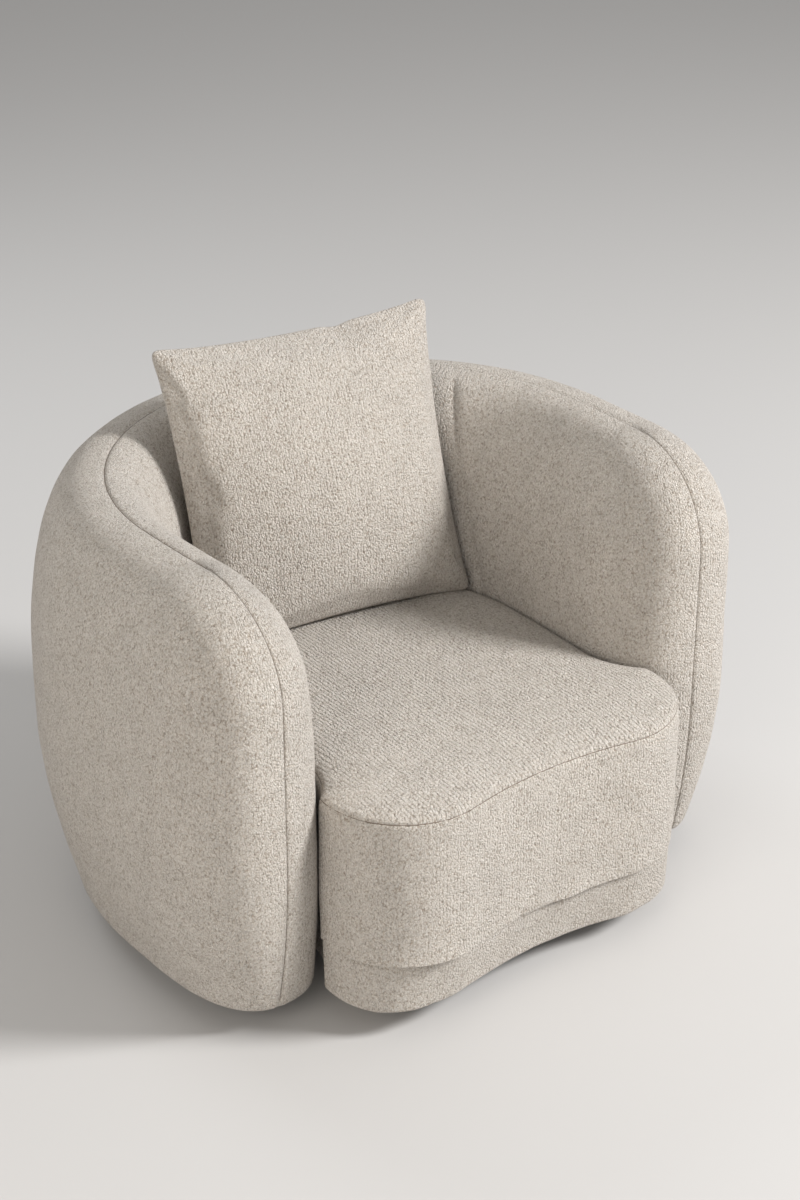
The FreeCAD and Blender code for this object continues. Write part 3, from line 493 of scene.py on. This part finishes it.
def seat_boxing():
    """The upright band under the seat's seam, with its hem turned in at the bottom."""
    span = SEAM_Z - BOXING_HEM_Z
    radius = BOXING_HEM_RADIUS
    rows = [(BOXING_HEM_Z + BOXING_TURN_UP, 2 * radius + BOXING_TURN_LEAN),
            (BOXING_HEM_Z + radius, 2 * radius)]
    for angle in np.linspace(0, math.pi, HEM_BEND_ROWS + 1)[1:]:
        rows.append((BOXING_HEM_Z + radius * (1 - math.sin(angle)), radius * (1 + math.cos(angle))))
    heights = crowded(BOXING_ROWS, BOXING_CROWDING)[::-1]
    rows += [(SEAM_Z - (span - radius) * share, 0.0) for share in heights[1:]]
    sheets = []
    for z, inset in rows:
        climbed = min(max((z - BOXING_HEM_Z) / span, 0), 1)
        full = BOXING_FULLNESS * math.sin(math.pi * climbed)
        sheets.append(at_height(seat_plan(inset - full), z))
    points = np.array(sheets)
    out = outward_directions(points[-1])[None]
    drop = SEAM_Z - points[..., 2]
    push = soft_waves(points, BOXING_WAVES) * fade_in(drop, 0, SEAT_WAVE_FADE)
    near_hem = np.exp(-((points[..., 2] - BOXING_HEM_Z) / HEM_FLARE_HEIGHT))
    push += HEM_FLARE * near_hem * hem_flare(points[-1])[None]
    bay_fold = np.exp(-np.abs(points[..., 0] - FOLD_X) / FOLD_WIDTH) * (points[..., 1] < FRONT_Y)
    push -= FOLD_DEPTH * bay_fold * fade_in(drop, 0, FOLD_FADE)
    sink = valley(drop)
    points = points + (push - SEAT_SEAM_INWARD * sink)[..., None] * out
    points[..., 2] -= SEAT_SEAM_DOWN * sink
    return grid_mesh("seat_boxing_cloth", points, cloth_places(points[-1], points[:, 0]))


def plinth():
    """The set-back band below the boxing, leaning in towards its hem."""
    low = HEM_Z - HEM_DROP
    rise = BOXING_HEM_Z - HEM_Z
    rows = [(low, PLINTH_TURN_UNDER)]
    for angle in np.linspace(0, math.pi / 2, HEM_ROWS):
        rows.append((low + PLINTH_ROLL * (1 - math.cos(angle)), PLINTH_ROLL * (1 - math.sin(angle))))
    rows += [(z, 0.0) for z in np.linspace(HEM_Z + PLINTH_ROLL, plinth_high.z, PLINTH_ROWS)[1:]]
    sheets = []
    for z, inset in rows:
        fall = min(max((BOXING_HEM_Z - z) / rise, 0), 1)
        front = seat_plan(PLINTH_SETBACK + PLINTH_FRONT_LEAN * fall + inset)
        side = seat_plan(PLINTH_SIDE_SETBACK + PLINTH_SIDE_LEAN * fall + inset)
        beside_arm = fade_in(np.abs(side[:, :1]), LOBE_X + BESIDE_ARM_START, BESIDE_ARM_FADE)
        sheets.append(at_height(front + (side - front) * beside_arm, z))
    points = np.array(sheets)
    out = outward_directions(points[-1])[None]
    push = soft_waves(points, PLINTH_WAVES)
    under_hem = np.exp(-((points[..., 2] - BOXING_HEM_Z) / GROOVE_HEIGHT) ** 2)
    push -= HEM_FLARE * under_hem * hem_flare(points[-1])[None]
    points = points + push[..., None] * out
    centres = (points[:-1, :-1] + points[1:, 1:]) / 2
    uvs = cloth_places(points[-1], points[:, 0])
    return grid_mesh("plinth_cloth", points, uvs, centres[..., 1] < SLOT_END_Y)


# Loose cushion

CLOTH_COLUMNS = 60
CLOTH_CROWDING = math.radians(72)
CUSHION_DRAW = 0.013
START_SHARE = 0.94
SWELL_POWER = 0.74
FILL_PRESSURE = 4.0
FILL_FRAMES = 20
FILL_REACH = 0.009
EDGE_ROLL = 0.0045
EDGE_ROLL_SHARE = 0.05
CORNER_BLUNT = 0.007
CORNER_POWER = 24

# Pinch in the cushion's top edge
PINCH_X = 0.07
PINCH_WIDTH = 0.016
PINCH_START_Z = 0.13
PINCH_FADE = 0.08
PINCH_SQUEEZE = 0.25
PINCH_DROP = 0.005


def cushion_half(a, b, side):
    """Points of one half of the cushion: soft edges drawn in between the corners, and blunt corners."""
    half = CUSHION_SIDE / 2
    blunt = CORNER_BLUNT * (a * b) ** CORNER_POWER
    x = a * (half - CUSHION_DRAW * (1 - b ** 2) * a ** 2 - blunt)
    z = b * (half - CUSHION_DRAW * (1 - a ** 2) * b ** 2 - blunt)
    swell = np.cos(a * math.pi / 2) * np.cos(b * math.pi / 2)
    rolled = np.clip((1 - np.maximum(abs(a), abs(b))) / EDGE_ROLL_SHARE, 0, 1)
    roll = EDGE_ROLL * np.sqrt(1 - (1 - rolled) ** 2)
    y = side * (CUSHION_THICKNESS / 2 * START_SHARE * np.clip(swell, 0, 1) ** SWELL_POWER + roll)
    return np.stack([x, y, z], axis=-1).reshape(-1, 3)


def sewn_cushion():
    """Two square sheets sewn together at their edges, in the shape that the filling starts from."""
    count = CLOTH_COLUMNS + 1
    steps = np.sin(np.linspace(-1, 1, count) * CLOTH_CROWDING) / math.sin(CLOTH_CROWDING)
    a, b = np.meshgrid(steps, steps)
    points = np.concatenate([cushion_half(a, b, -1), cushion_half(a, b, 1)])
    index = np.arange(count * count).reshape(count, count)
    edge = np.zeros((count, count), bool)
    edge[0], edge[-1], edge[:, 0], edge[:, -1] = True, True, True, True
    other = index + count * count
    other[edge] = index[edge]
    faces, places = [], []
    flat = np.stack([a, b], axis=-1).reshape(-1, 2) * CUSHION_SIDE / 2
    for sheet, order, shift in ((index, (0, 1, 2, 3), 0.0), (other, (3, 2, 1, 0), CUSHION_SIDE)):
        corners = np.stack([sheet[:-1, :-1], sheet[:-1, 1:], sheet[1:, 1:], sheet[1:, :-1]], axis=-1)
        corners = corners.reshape(-1, 4)[:, order]
        faces += corners.tolist()
        places.append(flat[corners.reshape(-1) % (count * count)] + (shift, 0))
    mesh = bpy.data.meshes.new("cushion_cloth")
    mesh.from_pydata(points.tolist(), [], faces)
    layer = mesh.uv_layers.new(name="Cloth")
    layer.data.foreach_set("uv", np.concatenate(places).astype(np.float32).ravel())
    piece = bpy.data.objects.new("cushion_cloth", mesh)
    bpy.context.collection.objects.link(piece)
    drop_loose(mesh)
    return piece


def drop_loose(mesh):
    """Removes the points that no face uses."""
    work = bmesh.new()
    work.from_mesh(mesh)
    loose = [vert for vert in work.verts if not vert.link_faces]
    bmesh.ops.delete(work, geom=loose, context="VERTS")
    work.to_mesh(mesh)
    work.free()


def fill_with_cloth(piece, pressure, frames):
    """Blows the piece up as cloth and keeps the result as its mesh."""
    modifier = piece.modifiers.new("Filling", "CLOTH")
    settings = modifier.settings
    settings.quality = 8
    settings.mass = 0.4
    settings.tension_stiffness = 25
    settings.compression_stiffness = 25
    settings.shear_stiffness = 8
    settings.bending_stiffness = 0.6
    settings.air_damping = 6
    settings.use_pressure = True
    settings.uniform_pressure_force = pressure
    settings.effector_weights.gravity = 0
    modifier.collision_settings.use_collision = False
    modifier.point_cache.frame_start = 1
    modifier.point_cache.frame_end = frames
    for number in range(1, frames + 1):
        bpy.context.scene.frame_set(number)
    ready = piece.evaluated_get(bpy.context.evaluated_depsgraph_get())
    mesh = bpy.data.meshes.new_from_object(ready)
    piece.modifiers.clear()
    piece.data = mesh
    bpy.context.scene.frame_set(1)


def mesh_points(mesh):
    """The mesh's points as an array."""
    co = np.empty(len(mesh.vertices) * 3, np.float32)
    mesh.vertices.foreach_get("co", co)
    return co.reshape(-1, 3).astype(float)


def set_points(mesh, points):
    """Moves the mesh's points."""
    mesh.vertices.foreach_set("co", points.astype(np.float32).ravel())
    mesh.update()


def cushion():
    """The loose cushion, filled, brought to its size and leant against the back."""
    piece = sewn_cushion()
    start = mesh_points(piece.data)
    fill_with_cloth(piece, FILL_PRESSURE, FILL_FRAMES)
    moved = mesh_points(piece.data) - start
    reach = np.linalg.norm(moved, axis=1, keepdims=True)
    set_points(piece.data, start + moved * np.minimum(1, FILL_REACH / np.maximum(reach, 1e-9)))
    points = mesh_points(piece.data)
    low, high = points.min(axis=0), points.max(axis=0)
    points -= (low + high) / 2
    points *= np.array([CUSHION_SIDE, CUSHION_THICKNESS, CUSHION_SIDE]) / (high - low)
    pinch = np.exp(-((points[:, 0] - PINCH_X) / PINCH_WIDTH) ** 2)
    pinch *= fade_in(points[:, 2], PINCH_START_Z, PINCH_FADE) ** 2
    points[:, 1] *= 1 - PINCH_SQUEEZE * pinch
    points[:, 2] -= PINCH_DROP * pinch
    set_points(piece.data, points)
    leant = Matrix.Rotation(CUSHION_TURN, 4, "Z") @ Matrix.Rotation(CUSHION_LEAN, 4, "X")
    piece.data.transform(Matrix.Translation(CUSHION_PLACE) @ leant)
    smoother = piece.modifiers.new("Smooth", "SUBSURF")
    smoother.levels = 1
    smoother.render_levels = 1
    for face in piece.data.polygons:
        face.use_smooth = True
    return piece


# Seam threads sunk in the valleys, dark tubes that also paint the shade of the seams' crevices

RIM_THREAD_RADIUS = 0.0007
SEAT_THREAD_RADIUS = 0.00065
THREAD_WANDER = 0.0009
THREAD_LONG_WAVE = 0.009
THREAD_SHORT_WAVE = 0.003
SHORT_WAVE_SHARE = 0.6


def wander(point):
    """How far a thread strays from its seam at a point."""
    slow = noise.noise(Vector(point) / THREAD_LONG_WAVE)
    quick = noise.noise(Vector(point) / THREAD_SHORT_WAVE)
    return (slow + SHORT_WAVE_SHARE * quick) * THREAD_WANDER


def thread(name, path, radius, closed=False):
    """A fine dark line along a path: the stitches, and painted shade of the seam's crevice."""
    curve = bpy.data.curves.new(name, "CURVE")
    curve.dimensions = "3D"
    curve.bevel_depth = radius
    curve.bevel_resolution = 1
    spline = curve.splines.new("POLY")
    spline.points.add(len(path) - 1)
    for entry, point in zip(spline.points, path):
        shift = wander(point)
        entry.co = (point[0] + shift, point[1] + shift, point[2], 1)
    spline.use_cyclic_u = closed
    piece = bpy.data.objects.new(name, curve)
    bpy.context.collection.objects.link(piece)
    return piece


def sheet_edge(piece, columns, row=None, column=None):
    """The points along one row or column of a sheet's grid."""
    points = mesh_points(piece.data).reshape(-1, columns, 3)
    return points[row] if column is None else points[:, column]


def rim_thread_and_shade(sheet):
    """Down the right arm's front, along the rim and down the left arm's front."""
    columns = 2 * (NOSE_COLUMNS + ARM_COLUMNS + BACK_COLUMNS - 2) - 1
    right = sheet_edge(sheet, columns, column=0)
    left = sheet_edge(sheet, columns, column=-1)
    crest = sheet_edge(sheet, columns, row=-1)
    visible = right[:, 2] > HEM_Z + HEM_ROLL
    path = np.concatenate([right[visible], crest[1:-1], left[visible][::-1]])
    return thread("rim_seam_thread_and_shade", path, RIM_THREAD_RADIUS)


def seat_thread_and_shade(sheet):
    """Round the edge of the seat's top."""
    columns = len(seat_plan(0))
    path = sheet_edge(sheet, columns, row=0)[:-1]
    return thread("seat_seam_thread_and_shade", path, SEAT_THREAD_RADIUS, closed=True)


# Materials

class Nodes:
    """A short way to add and join the nodes of one material."""

    def __init__(self, name):
        self.material = bpy.data.materials.new(name)
        self.material.use_nodes = True
        self.tree = self.material.node_tree
        self.shader = self.tree.nodes["Principled BSDF"]

    def add(self, kind, **values):
        """A node with its settings, each a property or the value of a socket."""
        node = self.tree.nodes.new(kind)
        for name, value in values.items():
            if hasattr(node, name):
                setattr(node, name, value)
            else:
                node.inputs[name.replace("_", " ")].default_value = value
        return node

    def join(self, source, output, target, entry):
        """A link between two nodes' sockets."""
        self.tree.links.new(source.outputs[output], target.inputs[entry])

    def maths(self, operation, first, second):
        """A Math node on two values, each a number or a pair of node and output."""
        node = self.add("ShaderNodeMath", operation=operation)
        for entry, value in enumerate((first, second)):
            if isinstance(value, tuple):
                self.join(value[0], value[1], node, entry)
            else:
                node.inputs[entry].default_value = value
        return node

    def ramp(self, source, output, stops):
        """Colours over a value, from pairs of place and colour."""
        node = self.add("ShaderNodeValToRGB")
        elements = node.color_ramp.elements
        while len(elements) < len(stops):
            elements.new(0.5)
        for element, (place, colour) in zip(elements, stops):
            element.position = place
            element.color = (*colour, 1)
        self.join(source, output, node, "Fac")
        return node

    def mix(self, blend, amount, first, second):
        """Two colours blended."""
        node = self.add("ShaderNodeMix", data_type="RGBA", blend_type=blend)
        node.inputs["Factor"].default_value = amount
        self.tree.links.new(first, node.inputs["A"])
        self.tree.links.new(second, node.inputs["B"])
        return node


# Yarn colours, the painted shade between the loops and the tones of worn patches
OATMEAL_DARK = (0.500, 0.440, 0.380)
OATMEAL_SHADE = (0.640, 0.588, 0.528)
OATMEAL = (0.715, 0.670, 0.615)
OATMEAL_LIGHT = (0.800, 0.765, 0.715)
WHITE = (1.0, 1.0, 1.0)
HOLLOW_EDGE_PAINTED_SHADE = (0.92, 0.905, 0.89)
HOLLOW_PAINTED_SHADE = (0.56, 0.51, 0.46)
WORN_DARK = (0.95, 0.945, 0.94)
WORN_LIGHT = (1.03, 1.025, 1.02)

# How far the loops and ribs stray, and the loops' upright scale, where less than 1 makes them taller
LOOP_STRAY = 0.0036
LOOP_UPRIGHT = 0.75
RIB_STRAY = 7.0
FIBRE_HEIGHT = 0.5
# Share of the painted shade in the hollows between the loops
HOLLOW_PAINTED_SHADE_STRENGTH = 0.9


def loop_yarn(name, loops_per_metre, relief, rib_pitch, rib_relief):
    """Loop yarn cloth: crowded little loops over ribs, with a few darker and paler ones, and painted shade
    in the hollows between the loops.
    """
    nodes = Nodes(name)
    place = nodes.add("ShaderNodeTexCoord")
    stray = nodes.add("ShaderNodeTexNoise", Scale=190.0, Detail=2.0)
    nodes.join(place, "Object", stray, "Vector")
    shift = nodes.add("ShaderNodeVectorMath", operation="MULTIPLY_ADD")
    nodes.join(stray, "Color", shift, 0)
    shift.inputs[1].default_value = (LOOP_STRAY, LOOP_STRAY, LOOP_STRAY)
    nodes.join(place, "Object", shift, 2)
    stretch = nodes.add("ShaderNodeMapping")
    nodes.join(shift, "Vector", stretch, "Vector")
    stretch.inputs["Scale"].default_value = (1.0, 1.0, LOOP_UPRIGHT)
    loops = nodes.add("ShaderNodeTexVoronoi", voronoi_dimensions="3D", feature="F1", Randomness=1.0,
                      Scale=loops_per_metre)
    nodes.join(stretch, "Vector", loops, "Vector")
    fibres = nodes.add("ShaderNodeTexNoise", Scale=900.0, Detail=2.0, Roughness=0.7)
    nodes.join(place, "Object", fibres, "Vector")
    patches = nodes.add("ShaderNodeTexNoise", Scale=24.0, Detail=2.0)
    nodes.join(place, "Object", patches, "Vector")

    cloth = nodes.add("ShaderNodeUVMap", uv_map="Cloth")
    across = nodes.add("ShaderNodeSeparateXYZ")
    nodes.join(cloth, "UV", across, "Vector")
    turns = nodes.maths("MULTIPLY", (across, "X"), 2 * math.pi / rib_pitch)
    unsteady = nodes.maths("MULTIPLY", (stray, "Fac"), RIB_STRAY)
    wave = nodes.maths("ADD", (turns, "Value"), (unsteady, "Value"))
    ribs = nodes.maths("SINE", (wave, "Value"), 0.0)
    rib_height = nodes.maths("MULTIPLY", (ribs, "Value"), rib_relief)

    fuzz = nodes.maths("MULTIPLY", (fibres, "Fac"), FIBRE_HEIGHT)
    lifted = nodes.maths("SUBTRACT", (fuzz, "Value"), (loops, "Distance"))
    height = nodes.maths("ADD", (lifted, "Value"), (rib_height, "Value"))

    yarn_tones = ((0.10, OATMEAL_DARK), (0.24, OATMEAL_SHADE), (0.40, OATMEAL), (0.66, OATMEAL),
                  (0.88, OATMEAL_LIGHT))
    # Painted shade: the yarn colour darkens towards the hollows between the loops
    hollow_shade_tones = ((0.30, WHITE), (0.60, HOLLOW_EDGE_PAINTED_SHADE), (0.90, HOLLOW_PAINTED_SHADE))
    yarn = nodes.ramp(loops, "Color", yarn_tones)
    hollow_painted_shade = nodes.ramp(loops, "Distance", hollow_shade_tones)
    shaded = nodes.mix("MULTIPLY", HOLLOW_PAINTED_SHADE_STRENGTH, yarn.outputs["Color"], hollow_painted_shade.outputs["Color"])
    worn = nodes.ramp(patches, "Fac", ((0.30, WORN_DARK), (0.70, WORN_LIGHT)))
    coloured = nodes.mix("MULTIPLY", 1.0, shaded.outputs["Result"], worn.outputs["Color"])
    nodes.tree.links.new(coloured.outputs["Result"], nodes.shader.inputs["Base Color"])

    bump = nodes.add("ShaderNodeBump", Strength=1.0, Distance=relief)
    nodes.join(height, "Value", bump, "Height")
    nodes.join(bump, "Normal", nodes.shader, "Normal")
    nodes.shader.inputs["Roughness"].default_value = 0.95
    nodes.shader.inputs["Specular IOR Level"].default_value = 0.12
    nodes.shader.inputs["Sheen Weight"].default_value = 0.2
    nodes.shader.inputs["Sheen Roughness"].default_value = 0.45
    return nodes.material


# Grain of the plain finishes: shares of their colour and roughness, and its depth
GRAIN_DARKER = 0.72
GRAIN_LIGHTER = 1.18
GRAIN_SMOOTHER = 0.85
GRAIN_ROUGHER = 1.12
GRAIN_DEPTH = 0.0006


def speckled(name, colour, roughness, metallic=0.0, size=90.0, stretch=(1, 1, 1), depth=0.15):
    """A plain finish with fine grain, for the seam threads with their painted shade and for the pieces under
    the cloth.
    """
    nodes = Nodes(name)
    place = nodes.add("ShaderNodeTexCoord")
    mapping = nodes.add("ShaderNodeMapping")
    mapping.inputs["Scale"].default_value = stretch
    nodes.join(place, "Object", mapping, "Vector")
    grain = nodes.add("ShaderNodeTexNoise", Scale=size, Detail=5.0, Roughness=0.65)
    nodes.join(mapping, "Vector", grain, "Vector")
    darker = tuple(part * GRAIN_DARKER for part in colour)
    lighter = tuple(min(part * GRAIN_LIGHTER, 1) for part in colour)
    tone = nodes.ramp(grain, "Fac", ((0.30, darker), (0.55, colour), (0.78, lighter)))
    nodes.join(tone, "Color", nodes.shader, "Base Color")
    smoother = (roughness * GRAIN_SMOOTHER,) * 3
    rougher = (min(roughness * GRAIN_ROUGHER, 1),) * 3
    rough = nodes.ramp(grain, "Fac", ((0.3, smoother), (0.7, rougher)))
    nodes.join(rough, "Color", nodes.shader, "Roughness")
    bump = nodes.add("ShaderNodeBump", Strength=depth, Distance=GRAIN_DEPTH)
    nodes.join(grain, "Fac", bump, "Height")
    nodes.join(bump, "Normal", nodes.shader, "Normal")
    nodes.shader.inputs["Metallic"].default_value = metallic
    return nodes.material


def give(piece, material):
    """Makes this the piece's only material."""
    piece.data.materials.clear()
    piece.data.materials.append(material)


# The chair's pieces

# The seat's cloth lies flat, so its ribs show more
yarn_cloth = loop_yarn("loop_yarn_cloth", loops_per_metre=430.0, relief=4.0 * MM,
                       rib_pitch=5.2 * MM, rib_relief=0.11)
seat_cloth = loop_yarn("loop_yarn_seat", loops_per_metre=400.0, relief=3.8 * MM,
                       rib_pitch=6.4 * MM, rib_relief=0.27)

tub_outside = tub_sheet("tub_outside", outside=True)
tub_inside = tub_sheet("tub_inside", outside=False)
top = seat_top()
boxing = seat_boxing()
band = plinth()
pillow = cushion()

for piece, body, nodes_replaced in (
        (tub_outside, "tub", ("outside_cover", "left_arm_foam", "right_arm_foam", "left_back_foam",
                              "middle_back_foam", "right_back_foam")),
        (tub_inside, "tub", ("inside_back_cover", "inside_left_arm_cover", "inside_right_arm_cover")),
        (top, "tub", ("seat_top_panel", "seat_foam_core")),
        (boxing, "tub", ("seat_boxing",)),
        (band, "tub", ("plinth_cover",)),
        (pillow, "cushion", ("cushion_front_panel", "cushion_back_panel", "cushion_insert")),
):
    give(piece, seat_cloth if piece is top else yarn_cloth)
    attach(piece, body)
    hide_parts(*nodes_replaced)

# Dark partly as thread colour and partly as painted shade of the seam's crevice
thread_and_shade_lines = speckled("seam_thread_and_shade", (0.20, 0.16, 0.125), 0.9, size=260, depth=0.2)
for piece in (rim_thread_and_shade(tub_outside), seat_thread_and_shade(top)):
    give(piece, thread_and_shade_lines)
    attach(piece, "tub")

finishes = {
    "plywood": speckled("sanded_plywood", (0.74, 0.58, 0.40), 0.6, size=60, stretch=(1, 0.15, 1)),
    "timber": speckled("sawn_timber", (0.66, 0.50, 0.33), 0.7, size=50, stretch=(0.15, 1, 1), depth=0.3),
    "black_board": speckled("black_board", (0.045, 0.043, 0.042), 0.55, size=120),
    "steel": speckled("plated_steel", (0.56, 0.57, 0.58), 0.32, metallic=1.0, size=200, depth=0.05),
    "white_plastic": speckled("white_acetal", (0.80, 0.79, 0.76), 0.35, size=150, depth=0.04),
    "glide": speckled("glide_pad", (0.10, 0.10, 0.10), 0.85, size=400, depth=0.4),
    "webbing": speckled("woven_webbing", (0.33, 0.29, 0.24), 0.85, size=300, depth=0.5),
    "felt": speckled("needled_felt", (0.55, 0.54, 0.52), 0.95, size=500, depth=0.5),
    "dust_cloth": speckled("dust_cloth", (0.050, 0.050, 0.055), 0.9, size=700, depth=0.4),
    "foam": speckled("cut_foam", (0.86, 0.80, 0.62), 0.95, size=500, depth=0.4),
    "filling": speckled("fibre_filling", (0.92, 0.91, 0.88), 0.95, size=300, depth=0.4),
    "boucle": yarn_cloth,
}
for entry in frame["record"]["subparts"]:
    give(frame["nodes"][entry["node"]], finishes[entry["material_slot"]])


# Floor, light and camera

FLOOR_SIZE = 14.0
FLOOR_PAINT = (0.540, 0.532, 0.525, 1)
WORLD_COLOUR = (0.96, 0.95, 0.935, 1)
WORLD_STRENGTH = 0.44
LAMP_AIM = Vector((0, 0, 0.35))

# Name, place, width, power and colour of each lamp
LAMPS = (
    ("key", (3.2, -3.4, 3.5), 1.4, 390, (1.0, 0.99, 0.98)),
    ("fill", (-3.0, -1.6, 1.6), 2.4, 50, (1.0, 0.93, 0.84)),
    ("rim", (-0.6, 2.8, 2.6), 1.6, 26, (0.94, 0.97, 1.0)),
)


def studio_floor():
    """A plain pale floor."""
    mesh = bpy.data.meshes.new("studio_floor")
    half = FLOOR_SIZE / 2
    corners = [(-half, -half, 0), (half, -half, 0), (half, half, 0), (-half, half, 0)]
    mesh.from_pydata(corners, [], [(0, 1, 2, 3)])
    floor = bpy.data.objects.new("studio_floor", mesh)
    bpy.context.collection.objects.link(floor)
    paint = Nodes("pale_floor")
    paint.shader.inputs["Base Color"].default_value = FLOOR_PAINT
    paint.shader.inputs["Roughness"].default_value = 0.9
    floor.data.materials.append(paint.material)


def studio_light():
    """An even pale world and three soft lamps."""
    world = bpy.data.worlds.new("studio")
    bpy.context.scene.world = world
    world.use_nodes = True
    background = world.node_tree.nodes["Background"]
    background.inputs["Color"].default_value = WORLD_COLOUR
    background.inputs["Strength"].default_value = WORLD_STRENGTH
    for name, place, width, power, colour in LAMPS:
        lamp = bpy.data.lights.new(name, "AREA")
        lamp.shape = "DISK"
        lamp.size = width
        lamp.energy = power
        lamp.color = colour
        holder = bpy.data.objects.new(name, lamp)
        bpy.context.collection.objects.link(holder)
        holder.location = place
        holder.rotation_euler = (LAMP_AIM - Vector(place)).to_track_quat("-Z", "Y").to_euler()


# Camera, fitted to the chair's outlines in the photo
CAMERA_AZIMUTH = math.radians(-37.35)
CAMERA_ELEVATION = math.radians(27.0)
CAMERA_TARGET = Vector((0.023, -0.072, 0.4523))
CAMERA_DISTANCE = 3.3475
CAMERA_SENSOR = 36
CAMERA_LENS = 69


def photo_camera():
    """The camera at the photo's viewing angle."""
    camera = bpy.data.cameras.new("photo_camera")
    camera.sensor_width = CAMERA_SENSOR
    camera.lens = CAMERA_LENS
    holder = bpy.data.objects.new("photo_camera", camera)
    bpy.context.collection.objects.link(holder)
    level = math.cos(CAMERA_ELEVATION)
    rise = math.sin(CAMERA_ELEVATION)
    back = Vector((math.sin(CAMERA_AZIMUTH) * level, -math.cos(CAMERA_AZIMUTH) * level, rise))
    holder.location = CAMERA_TARGET + back * CAMERA_DISTANCE
    holder.rotation_euler = (-back).to_track_quat("-Z", "Y").to_euler()
    bpy.context.scene.camera = holder


studio_floor()
studio_light()
photo_camera()
bpy.context.scene.view_settings.view_transform = "Standard"
